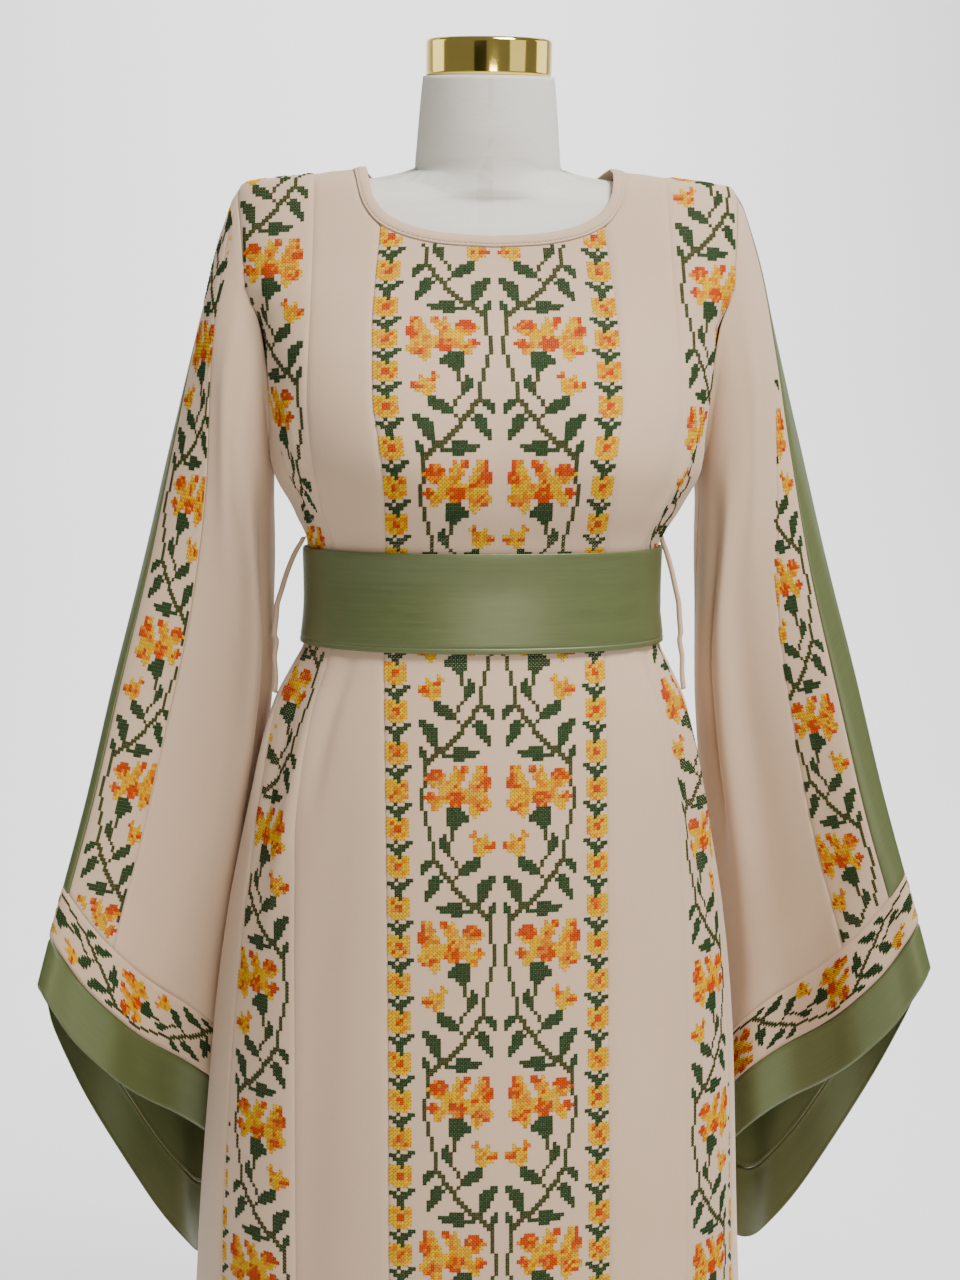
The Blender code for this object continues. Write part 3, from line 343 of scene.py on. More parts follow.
ARMHOLE_FRONT, ARMHOLE_BACK = 0.041, 0.054  # its half widths
STITCH = 0.00294  # from one cross to the next


# ---- finishes


class Nodes:
    """Small helper that wires one procedural material."""

    def __init__(self, name: str) -> None:
        """Starts a material with its Principled shader.

        Args:
            name: the material's name.
        """
        self.material = bpy.data.materials.new(name)
        self.material.use_nodes = True
        self.tree = self.material.node_tree
        self.shader = self.tree.nodes["Principled BSDF"]

    def add(self, kind: str, **inputs: object) -> Node:
        """Adds a node and sets its properties, or its inputs where the name is an input's.

        Args:
            kind: the node's type name without ShaderNode.
            inputs: values; a socket given as a value is linked.

        Returns:
            The node.
        """
        node = self.tree.nodes.new("ShaderNode" + kind)
        for key, value in inputs.items():
            label = key.replace("_", " ")
            if label in node.inputs:
                self.put(node.inputs[label], value)
            else:
                setattr(node, key, value)
        return node

    def put(self, socket: NodeSocket, value: object) -> None:
        """Sets a socket, or links it where the value is another socket."""
        if isinstance(value, NodeSocket):
            self.tree.links.new(value, socket)
        else:
            socket.default_value = value

    def math(self, kind: str, a: object, b: object = 0.0) -> NodeSocket:
        """One Math node of two values, and its result.

        Args:
            kind: the operation.
            a: a number or a socket.
            b: a number or a socket.

        Returns:
            The result.
        """
        node = self.add("Math", operation=kind)
        self.put(node.inputs[0], a)
        self.put(node.inputs[1], b)
        return node.outputs[0]

    def noise(self, place: object, scale: float, detail: float = 2.0, stretch: Sequence[float] = (1, 1, 1)) -> object:
        """Noise on a position: cells a metre, octaves, and a stretch for each axis."""
        mapped = self.add("Mapping", Vector=place, Scale=tuple(stretch))
        return self.add("TexNoise", Vector=mapped.outputs[0], Scale=scale, Detail=detail).outputs["Fac"]

    def weigh(self, a: object, b: object, share: float) -> NodeSocket:
        """One value times its share plus the other times the rest."""
        return self.math("ADD", self.math("MULTIPLY", a, share), self.math("MULTIPLY", b, 1 - share))

    def blend(self, amount: object, a: object, b: object) -> NodeSocket:
        """Colour between a and b by amount.

        Args:
            amount: 0 gives a, 1 gives b.
            a: a colour or a socket.
            b: a colour or a socket.

        Returns:
            The colour.
        """
        node = self.add("Mix", data_type="RGBA")
        self.put(node.inputs[0], amount)
        self.put(node.inputs[6], a)
        self.put(node.inputs[7], b)
        return node.outputs[2]

    def span(self, value: object, low: float, high: float, to_low: float, to_high: float) -> NodeSocket:
        """A value carried from one range to another, clamped.

        Args:
            value: a number or a socket.
            low: start of its range.
            high: end of its range.
            to_low: what low becomes.
            to_high: what high becomes.

        Returns:
            The new value.
        """
        node = self.add("MapRange")
        for k, v in enumerate((value, low, high, to_low, to_high)):
            self.put(node.inputs[k], v)
        return node.outputs[0]

    def bump(self, height: object, distance: float, strength: float = 1.0, under: object = None) -> object:
        """Bump from a height, over another bump where one is given.

        Args:
            height: a number or a socket.
            distance: how far a height of 1 stands out.
            strength: share of the effect.
            under: the bump below.

        Returns:
            The normal.
        """
        node = self.add("Bump", Height=height, Distance=distance, Strength=strength)
        if under is not None:
            self.put(node.inputs["Normal"], under)
        return node.outputs[0]

    def finish(self, **inputs: object) -> Material:
        """Sets the shader's inputs by name, with _ for a space, and returns the material."""
        for key, value in inputs.items():
            self.put(self.shader.inputs[key.replace("_", " ")], value)
        return self.material


def tone(color: Sequence[float], factor: float) -> tuple[float, float, float, float]:
    """A linear colour times a factor, as RGBA."""
    return (color[0] * factor, color[1] * factor, color[2] * factor, 1.0)


@dataclass(frozen=True)
class CrepeFinish:
    """Matt crepe: a pebbled grain, faint slubs and a soft bloom."""

    name: str = "crepe"
    color: tuple[float, float, float] = (0.552, 0.392, 0.266)
    grain: float = 1500.0  # cells a metre
    relief: float = 0.00012

    def make(self) -> Material:
        """Builds the material."""
        n = Nodes(self.name)
        place = n.add("TexCoord").outputs["Object"]
        cloth = n.add("UVMap").outputs[0]
        pebble = n.noise(place, self.grain, 3.0)
        warp = n.noise(cloth, 420.0, 2.0, (6.0, 0.35, 1.0))
        weft = n.noise(cloth, 420.0, 2.0, (0.35, 6.0, 1.0))
        wide = n.noise(place, 5.0, 2.0)
        thread = n.weigh(warp, weft, 0.5)
        shade = n.weigh(thread, wide, 0.35)
        color = n.blend(n.span(shade, 0.35, 0.65, 0, 1), tone(self.color, 0.93), tone(self.color, 1.05))
        color = n.blend(n.span(pebble, 0.3, 0.7, 0, 0.35), color, tone(self.color, 0.84))
        relief = n.bump(thread, self.relief, 0.8, n.bump(pebble, self.relief, 0.9))
        rough = n.span(pebble, 0.3, 0.7, 0.74, 0.9)
        return n.finish(Base_Color=color, Roughness=rough, Normal=relief, Sheen_Weight=0.22,
                        Sheen_Roughness=0.45, Sheen_Tint=(1.0, 0.93, 0.86, 1), Specular_IOR_Level=0.3)


@dataclass(frozen=True)
class SatinFinish:
    """Olive satin: long floats along the piece, a bright broad sheen and faint slubs."""

    name: str = "olive satin"
    color: tuple[float, float, float] = (0.070, 0.086, 0.026)
    roughness: float = 0.42

    def make(self) -> Material:
        """Builds the material."""
        n = Nodes(self.name)
        cloth = n.add("UVMap").outputs[0]
        place = n.add("TexCoord").outputs["Object"]
        floats = n.noise(cloth, 900.0, 3.0, (0.05, 2.2, 1.0))
        slubs = n.noise(cloth, 60.0, 2.0, (0.12, 6.0, 1.0))
        waves = n.noise(place, 38.0, 2.0)
        shade = n.weigh(floats, slubs, 0.6)
        color = n.blend(n.span(shade, 0.35, 0.65, 0, 1), tone(self.color, 0.86), tone(self.color, 1.14))
        relief = n.bump(waves, 0.0006, 0.5, n.bump(floats, 0.00006, 0.7))
        rough = n.span(shade, 0.3, 0.7, self.roughness - 0.05, self.roughness + 0.07)
        return n.finish(Base_Color=color, Roughness=rough, Normal=relief, Sheen_Weight=0.04,
                        Sheen_Roughness=0.3, Sheen_Tint=(0.85, 0.95, 0.55, 1), Anisotropic=0.45,
                        Specular_IOR_Level=0.9, Specular_Tint=(0.93, 1.0, 0.72, 1))


@dataclass(frozen=True)
class ThreadFinish:
    """Stranded thread, coloured by each stitch's own attribute, which carries painted shade on each lower thread."""

    name: str = "stitching thread"

    def make(self) -> Material:
        """Builds the material."""
        n = Nodes(self.name)
        shade = n.add("Attribute", attribute_name="thread").outputs["Color"]
        place = n.add("TexCoord").outputs["Object"]
        strand = n.noise(place, 2600.0, 1.0)
        dark = n.add("HueSaturation", Color=shade, Value=0.72)
        color = n.blend(n.span(strand, 0.35, 0.65, 0, 0.5), shade, dark.outputs[0])
        return n.finish(Base_Color=color, Roughness=0.62, Normal=n.bump(strand, 0.0001, 0.7),
                        Specular_IOR_Level=0.06)


@dataclass(frozen=True)
class LinenFinish:
    """Off-white linen cover: a plain weave with uneven threads."""

    name: str = "form linen"
    color: tuple[float, float, float] = (0.720, 0.690, 0.615)
    pitch: float = 0.0009  # metres between threads

    def make(self) -> Material:
        """Builds the material."""
        n = Nodes(self.name)
        cloth = n.add("UVMap").outputs[0]
        place = n.add("TexCoord").outputs["Object"]
        scale = 2 * math.pi / self.pitch / 20
        over = n.add("TexWave", Vector=cloth, Scale=scale, Distortion=0.8, bands_direction="X").outputs["Fac"]
        under = n.add("TexWave", Vector=cloth, Scale=scale, Distortion=0.8, bands_direction="Y").outputs["Fac"]
        slub = n.noise(cloth, 160.0, 3.0, (0.2, 4.0, 1.0))
        wide = n.noise(place, 9.0, 2.0)
        weave = n.math("MULTIPLY", over, under)
        shade = n.weigh(slub, wide, 0.5)
        color = n.blend(n.span(shade, 0.3, 0.7, 0, 1), tone(self.color, 0.94), tone(self.color, 1.04))
        color = n.blend(n.span(weave, 0.0, 0.6, 0.22, 0), color, tone(self.color, 0.72))
        relief = n.bump(slub, 0.0002, 0.5, n.bump(weave, 0.0002, 0.7))
        return n.finish(Base_Color=color, Roughness=0.9, Normal=relief, Sheen_Weight=0.1)


@dataclass(frozen=True)
class MetalFinish:
    """Polished or brushed metal, with faint wear."""

    name: str
    color: tuple[float, float, float]
    roughness: float
    brushed: float = 0.0

    def make(self) -> Material:
        """Builds the material."""
        n = Nodes(self.name)
        place = n.add("TexCoord").outputs["Object"]
        smear = n.noise(place, 30.0, 3.0)
        lines = n.noise(place, 700.0, 2.0, (1.0, 1.0, 0.02) if self.brushed else (1, 1, 1))
        color = n.blend(n.span(smear, 0.35, 0.65, 0, 1), tone(self.color, 0.95), tone(self.color, 1.03))
        rough = n.math("ADD", n.span(smear, 0.3, 0.7, self.roughness, self.roughness + 0.05),
                       n.math("MULTIPLY", lines, 0.12 * self.brushed))
        relief = n.bump(lines, 0.00002 + 0.00006 * self.brushed, 0.2)
        return n.finish(Base_Color=color, Metallic=1.0, Roughness=rough, Normal=relief)


@dataclass(frozen=True)
class PlainFinish:
    """Plain matt studio surface."""

    name: str
    color: tuple[float, float, float]

    def make(self) -> Material:
        """Builds the material."""
        n = Nodes(self.name)
        place = n.add("TexCoord").outputs["Object"]
        color = n.blend(n.noise(place, 2.0, 2.0), tone(self.color, 0.985), tone(self.color, 1.01))
        return n.finish(Base_Color=color, Roughness=0.95)


# ---- meshes


def grid_faces(rows: int, cols: int, close: bool = False) -> Array:
    """Quads of a grid whose columns go round and whose rows go on.

    Args:
        rows: rows of points.
        cols: columns of points.
        close: joins the last column to the first.

    Returns:
        (n, 4) vertex numbers.
    """
    last = cols if close else cols - 1
    i, j = np.meshgrid(np.arange(rows - 1), np.arange(last), indexing="ij")
    k = (j + 1) % cols
    return np.stack([i * cols + j, i * cols + k, (i + 1) * cols + k, (i + 1) * cols + j], -1).reshape(-1, 4)


def new_mesh(name: str, points: Array, faces: Array, uv: Array | None = None) -> Object:
    """Makes a smooth-shaded object at the origin from points in the robe's own frame.

    Args:
        name: the piece's name.
        points: (n, 3) positions, before the shift that centres the whole object.
        faces: (m, 3 or 4) point numbers.
        uv: (n, 2) position on the cloth in metres, or None.

    Returns:
        The linked object.
    """
    mesh = bpy.data.meshes.new(name)
    placed = np.asarray(points, float).reshape(-1, 3) + np.array([0, SHIFT_Y, 0])
    count, sides = faces.shape
    mesh.vertices.add(len(placed))
    mesh.vertices.foreach_set("co", placed.astype(np.float32).ravel())
    mesh.loops.add(count * sides)
    mesh.loops.foreach_set("vertex_index", faces.astype(np.int32).ravel())
    mesh.polygons.add(count)
    mesh.polygons.foreach_set("loop_start", np.arange(0, count * sides, sides, dtype=np.int32))
    mesh.polygons.foreach_set("use_smooth", np.ones(count, bool))
    mesh.update(calc_edges=True)
    if uv is not None:
        layer = mesh.uv_layers.new(name="cloth")
        layer.uv.foreach_set("vector", np.asarray(uv, float).reshape(-1, 2)[faces.ravel()].astype(np.float32).ravel())
    mesh.validate()
    obj = bpy.data.objects.new(name, mesh)
    bpy.context.scene.collection.objects.link(obj)
    return obj


def cloth_mesh(name: str, points: Array, close: bool = False) -> Object:
    """Makes a grid of points with its flat places as UV; close joins the last column to the first."""
    return new_mesh(name, points, grid_faces(*points.shape[:2], close), cloth_uv(points))


def run_along(points: Array, axis: int) -> Array:
    """Distance run along one axis of a grid of points.

    Args:
        points: the grid.
        axis: 0 down the rows, 1 across the columns.

    Returns:
        Distance at each point, 0 at the start.
    """
    step = np.linalg.norm(np.diff(points, axis=axis), axis=-1)
    pad = [(0, 0), (0, 0)]
    pad[axis] = (1, 0)
    return np.pad(np.cumsum(step, axis=axis), pad)


def cloth_uv(points: Array) -> Array:
    """Flat place of each grid point: distance across from the middle column, and distance along.

    Args:
        points: the grid.

    Returns:
        (rows, cols, 2) places.
    """
    across = run_along(points, 1)
    middle = points.shape[1] // 2
    across = across - across[:, middle : middle + 1]
    along = run_along(points, 0)[:, middle : middle + 1] + 0 * across
    return np.stack([across, along], -1)


def edge_shares(count: int, seam: float = 0.012) -> Array:
    """Shares across a panel, even but for two finer steps beside each edge."""
    inner = np.linspace(seam * 2.2, 1 - seam * 2.2, max(count - 5, 2))
    return np.concatenate([[0, seam * 0.45, seam], inner, [1 - seam, 1 - seam * 0.45, 1]])


# ---- surfaces


def back_lift(height: Array, y: Array) -> Array:
    """How much the back of a ring is raised near the neck."""
    return 0.24 * step_up(height, 1.23, 1.38) * np.maximum(y, 0)


def bust_rise(x: Array, height: Array) -> Array:
    """Soft rise of the bust on each side: a product of two bell curves."""
    across = np.exp(-(((np.abs(x) - 0.082) / 0.045) ** 2))
    return 0.0065 * across * np.exp(-(((height - 1.186) / 0.050) ** 2))


def quarter(half: Array, depth: Array, power: Array, count: int) -> tuple[Array, Array]:
    """Quarter superellipse from the middle (x = 0) to the side (y = 0), one row a height.

    Args:
        half: half width of each ring.
        depth: its depth.
        power: its exponent.
        count: points in the quarter.

    Returns:
        x and y, each (heights, count).
    """
    turn = np.linspace(0, math.pi / 2, count)[None, :]
    deep = np.maximum(depth, 1e-4)[:, None]
    angle = np.arctan2(half[:, None] * np.sin(turn), deep * np.cos(turn))
    sin, cos = np.abs(np.sin(angle)) / half[:, None], np.abs(np.cos(angle)) / deep
    reach = (sin ** power[:, None] + cos ** power[:, None]) ** (-1 / power[:, None])
    return reach * np.sin(angle), reach * np.cos(angle)


def evened(x: Array, y: Array, count: int = 121) -> tuple[Array, Array, Array]:
    """The same curves with their points evenly spaced, and each curve's length.

    Args:
        x: one curve a row.
        y: as x.
        count: points of each new curve.

    Returns:
        The new x, the new y and the lengths.
    """
    run = np.hypot(np.diff(x, axis=1), np.diff(y, axis=1))
    along = np.concatenate([np.zeros((len(x), 1)), np.cumsum(run, axis=1)], axis=1)
    total = along[:, -1]
    share = np.linspace(0, 1, count)
    out_x = np.array([np.interp(share * total[i], along[i], x[i]) for i in range(len(x))])
    out_y = np.array([np.interp(share * total[i], along[i], y[i]) for i in range(len(x))])
    return out_x, out_y, total


@dataclass(frozen=True)
class Crease:
    """A soft ridge or trough: a bell across a line that leans and fades at both ends.

    The offset is 1.5 * deep * exp(-((around - line) / (0.85 * wide))^2) * fade(height).
    """

    around: float
    low: float
    high: float
    wide: float
    deep: float
    lean: float = 0.0

    def read(self, around: Array, height: Array) -> Array:
        """Offset of the cloth at these places.

        Args:
            around: place around the ring, 4 a full turn.
            height: ring height.

        Returns:
            How far out the cloth stands.
        """
        share = (height - self.low) / (self.high - self.low)
        line = self.around + self.lean * (share - 0.5)
        fade = np.sin(math.pi * np.clip(share, 0, 1)) ** 0.8
        gap = np.mod(around - line + 2, 4) - 2
        return 1.5 * self.deep * np.exp(-((gap / (0.85 * self.wide)) ** 2)) * fade


BODY_CREASES = tuple(Crease(*row) for row in (
    # gathers below the belt, in front, and their like behind
    (-0.86, 0.86, 1.034, 0.03, 0.003, 0.05), (-0.76, 0.83, 1.034, 0.034, -0.0026, 0.06),
    (-0.66, 0.8, 1.034, 0.036, 0.0028, 0.05), (-0.57, 0.9, 1.034, 0.024, -0.0018, 0.03),
    (0.6, 0.88, 1.034, 0.028, 0.0024, -0.04), (0.69, 0.8, 1.034, 0.036, -0.0028, -0.05),
    (0.79, 0.84, 1.034, 0.032, 0.003, -0.06), (0.88, 0.88, 1.034, 0.026, -0.0022, -0.04),
    (1.18, 0.82, 1.034, 0.04, 0.0032, 0.04), (1.34, 0.78, 1.034, 0.044, -0.003, 0.05),
    (1.52, 0.84, 1.034, 0.038, 0.0026, 0.02), (1.74, 0.8, 1.034, 0.044, -0.0026, 0.02),
    (-1.24, 0.83, 1.034, 0.04, 0.003, -0.05), (-1.42, 0.8, 1.034, 0.042, -0.0028, -0.04),
    (-1.63, 0.86, 1.034, 0.038, 0.0026, -0.02),
    # gathers above the belt
    (-0.88, 1.108, 1.22, 0.03, 0.0026, -0.05), (-0.78, 1.108, 1.2, 0.026, -0.002, -0.05),
    (-0.66, 1.108, 1.24, 0.032, 0.0022, -0.07), (0.64, 1.108, 1.21, 0.03, 0.0022, 0.06),
    (0.75, 1.108, 1.24, 0.028, -0.0022, 0.06), (0.86, 1.108, 1.2, 0.03, 0.0026, 0.04),
    (1.22, 1.108, 1.25, 0.04, -0.0026, 0.03), (1.45, 1.108, 1.24, 0.04, 0.0026, 0.05),
    (-1.28, 1.108, 1.25, 0.042, 0.0026, -0.04), (-1.52, 1.108, 1.23, 0.04, -0.0024, -0.04),
    # pull lines from the bust to the armhole
    (-0.84, 1.2, 1.33, 0.034, -0.0022, 0.16), (0.84, 1.2, 1.33, 0.034, -0.0022, -0.16),
    # long soft flutes of the skirt
    (-0.5, 0.02, 0.95, 0.09, -0.003, 0.02), (0.47, 0.02, 0.93, 0.09, -0.0026, -0.02),
    (1.02, 0.02, 0.9, 0.08, 0.0036, 0.03), (-1.04, 0.02, 0.92, 0.08, 0.0034, -0.03),
    (1.46, 0.02, 0.96, 0.1, -0.004, 0.02), (-1.5, 0.02, 0.96, 0.1, -0.0038, -0.02),
    (1.9, 0.02, 0.92, 0.09, 0.0034, 0.0),
))


@dataclass
class BodySurface:
    """The robe's body as a chart: (around, height), around 0 at the front middle, 1 the side, 2 the back."""

    creases: tuple[Crease, ...] = BODY_CREASES
    heights: Array = field(init=False)
    half: Array = field(init=False)
    points: Array = field(init=False)
    normals: Array = field(init=False)
    length: Array = field(init=False)
    steps: int = field(init=False)

    def __post_init__(self) -> None:
        """Works out the dense chart: superellipse rings, evened along each quarter."""
        self.heights = np.concatenate([np.arange(0.0, 1.378, 0.004), np.linspace(1.38, TOP, 96)])
        self.half = ROBE.read("half", self.heights)
        power = ROBE.read("power", self.heights)
        fx, fy = quarter(self.half, ROBE.read("front", self.heights), power, 181)
        bx, by = quarter(self.half, ROBE.read("back", self.heights), power, 181)
        level = self.heights[:, None]
        fy = -(fy + bust_rise(fx, level) * (fy > 0.03))
        front, back = evened(fx, fy), evened(bx[:, ::-1], by[:, ::-1])
        x = np.hstack([front[0], back[0][:, 1:]])
        y = np.hstack([front[1], back[1][:, 1:]])
        self.steps = x.shape[1] - 1
        self.length = front[2]
        self.points = np.stack([x, y, level + back_lift(level, y)], axis=-1)
        self.normals = unit(
            np.cross(np.gradient(self.points, axis=1), np.gradient(self.points, self.heights, axis=0)))

    def read(self, table: Array, around: Array, height: Array) -> Array:
        """Reads a chart table between its stations, mirrored for the negative side.

        Args:
            table: the points or normals.
            around: place around the ring, 4 a full turn.
            height: ring height.

        Returns:
            (..., 3) values.
        """
        around, height = np.broadcast_arrays(np.asarray(around, float), np.asarray(height, float))
        turn = np.mod(around + 2, 4) - 2
        col = np.abs(turn) / 2 * self.steps
        i = np.clip(np.searchsorted(self.heights, height, side="right") - 1, 0, len(self.heights) - 2)
        j = np.clip(col.astype(int), 0, self.steps - 1)
        a = ((height - self.heights[i]) / (self.heights[i + 1] - self.heights[i]))[..., None]
        b = (col - j)[..., None]
        low = table[i, j] * (1 - b) + table[i, j + 1] * b
        value = low * (1 - a) + (table[i + 1, j] * (1 - b) + table[i + 1, j + 1] * b) * a
        value[..., 0] *= np.where(turn < 0, -1.0, 1.0)
        return value

    def normal(self, around: Array, height: Array) -> Array:
        """Outward unit normal."""
        return unit(self.read(self.normals, around, height))

    def at(self, around: Array, height: Array, out: Array | float = 0.0) -> Array:
        """Point on the robe's inner face, moved out along its normal.

        Args:
            around: place around the ring, 4 a full turn.
            height: ring height.
            out: how far out.

        Returns:
            (..., 3) points.
        """
        points = self.read(self.points, around, height)
        half = np.interp(points[..., 2], self.heights, self.half)
        share = LEAN.read("share", points[..., 2]) * np.minimum((points[..., 0] / half) ** 2, 1)
        points[..., 0] *= 1 - np.sign(points[..., 0]) * share
        return points + self.normal(around, height) * np.asarray(out, float)[..., None]

    def crease(self, around: Array, height: Array) -> Array:
        """Sum of all creases at these places."""
        around, height = np.broadcast_arrays(np.asarray(around, float), np.asarray(height, float))
        return sum((c.read(around, height) for c in self.creases), np.zeros(around.shape))

    def cloth(self, around: Array, height: Array, lift: Array | float = 0.0) -> Array:
        """Point on the outer face of the creased cloth, lifted off it."""
        return self.at(around, height, WALL + self.crease(around, height) + lift)

    def front_length(self, height: Array) -> Array:
        """Length of a quarter ring."""
        return np.interp(height, self.heights, self.length)

    def solve(self, axis: int, wanted: Array, height: Array, low: float, high: float) -> Array:
        """Place around between low and high where one coordinate is as wanted, by halving.

        Args:
            axis: 0 for x, 1 for y.
            wanted: the coordinate.
            height: ring height.
            low: lowest place around.
            high: highest place around.

        Returns:
            The place around.
        """
        wanted, height = np.broadcast_arrays(np.asarray(wanted, float), np.asarray(height, float))
        a, b = np.full(wanted.shape, float(low)), np.full(wanted.shape, float(high))
        rising = self.read(self.points, b, height)[..., axis] > self.read(self.points, a, height)[..., axis]
        for _ in range(30):
            mid = (a + b) / 2
            over = (self.read(self.points, mid, height)[..., axis] > wanted) == rising
            b, a = np.where(over, mid, b), np.where(over, a, mid)
        return (a + b) / 2

    def ridge(self, x: Array | float) -> Array:
        """Height of the shoulder seam at this distance from the middle.

        Args:
            x: distance from the middle.

        Returns:
            The heights.
        """
        part = self.heights >= 1.402
        half = self.points[part, self.steps // 2, 0]
        return np.interp(x, half[::-1], self.heights[part][::-1])

    def armhole(self, height: Array, back: bool = False) -> Array:
        """Place around of the armhole's edge: half an ellipse in y against height.

        Args:
            height: ring height.
            back: the back half in place of the front.

        Returns:
            Places around the ring.
        """
        cos = np.clip((np.asarray(height, float) - ARMHOLE[0]) / ARMHOLE[1], -1, 1)
        deep = (ARMHOLE_BACK if back else ARMHOLE_FRONT) * np.sqrt(1 - cos * cos)
        return self.solve(1, deep, height, 1, 2) if back else self.solve(1, -deep, height, 0, 1)

    def seam(self, name: str, height: Array) -> Array:
        """Place around of a seam down the front, from its distance to the middle."""
        return self.solve(0, BORDERS.read(name, height), height, 0, 1)

    def side_border(self, height: Array) -> Array:
        """Outer edge of the cross-stitched side panel, by its width along the cloth."""
        return self.seam("plain", height) + SIDE_STRIP.read("width", height) / self.front_length(height)

    def side_edge(self, height: Array) -> Array:
        """The same edge, and above the armpit the front of the armhole."""
        return np.where(height < self.meet(), self.side_border(height), self.armhole(height))

    def meet(self) -> float:
        """Height at which the side border runs into the armhole's front edge."""
        z = np.linspace(1.184, 1.28, 385)
        return float(z[np.argmax(self.side_border(z) > self.armhole(z))])

    def back_meet(self) -> float:
        """Height at which the back's side seam runs into the armhole."""
        z = np.linspace(1.184, 1.25, 241)
        return float(z[np.argmax(self.armhole(z, True) > BACK_BORDER)])

    def ridge_line(self, x: Array) -> Array:
        """Places along the shoulder seam at these distances from the middle."""
        return paired(1.0, self.ridge(x))

    def curve_of(self, table: Table, count: int, edge: Edge) -> Array:
        """A neck edge as (around, height) points, from the middle out to the shoulder seam.

        Args:
            table: distances from the middle and heights.
            count: points wanted.
            edge: the front or the back.

        Returns:
            (count, 2) points.
        """
        back = edge is Edge.BACK
        share = np.linspace(0, 1, 61)
        stations = np.linspace(0, 1, len(table.rows))
        xs = smooth(share, stations, [r[0] for r in table.rows])
        tops = [r[1] for r in table.rows[:-1]] + [float(self.ridge(table.rows[-1][0]))]
        zs = smooth(share, stations, tops)
        run = np.concatenate([[0], np.cumsum(np.hypot(np.diff(xs), np.diff(zs)))])
        x = np.interp(np.linspace(0, run[-1], count), run, xs)
        z = np.interp(np.linspace(0, run[-1], count), run, zs)
        around = self.solve(0, x, z, *((1, 2) if back else (0, 1)))
        around[0] = 2.0 if back else 0.0
        return paired(around, z)


SLEEVE_FOLDS = (
    # line round the sleeve, its drift, width, first and last place along it, depth
    (0.4, -0.07, 0.03, 0.05, 0.62, -0.0072), (0.34, -0.08, 0.026, 0.08, 0.72, 0.006),
    (0.27, -0.03, 0.034, 0.2, 0.92, -0.005), (0.21, 0.01, 0.022, 0.02, 0.34, 0.0022),
    (0.6, 0.06, 0.03, 0.05, 0.6, -0.0068), (0.67, 0.07, 0.028, 0.08, 0.75, 0.0058),
    (0.77, 0.03, 0.036, 0.18, 0.92, -0.0036),
    # waves of the cuff, deepest at its edge
    (0.07, 0.0, 0.03, 0.8, 1.16, -0.005), (0.15, 0.0, 0.034, 0.8, 1.16, 0.0066),
    (0.24, 0.0, 0.03, 0.82, 1.16, -0.0066), (0.33, 0.0, 0.04, 0.8, 1.16, 0.0066),
    (0.43, 0.0, 0.03, 0.84, 1.16, -0.0036), (0.57, 0.0, 0.036, 0.8, 1.16, 0.0066),
    (0.68, 0.0, 0.032, 0.8, 1.16, -0.0066), (0.8, 0.0, 0.036, 0.82, 1.16, 0.006),
    (0.92, 0.0, 0.03, 0.8, 1.16, -0.004),
)


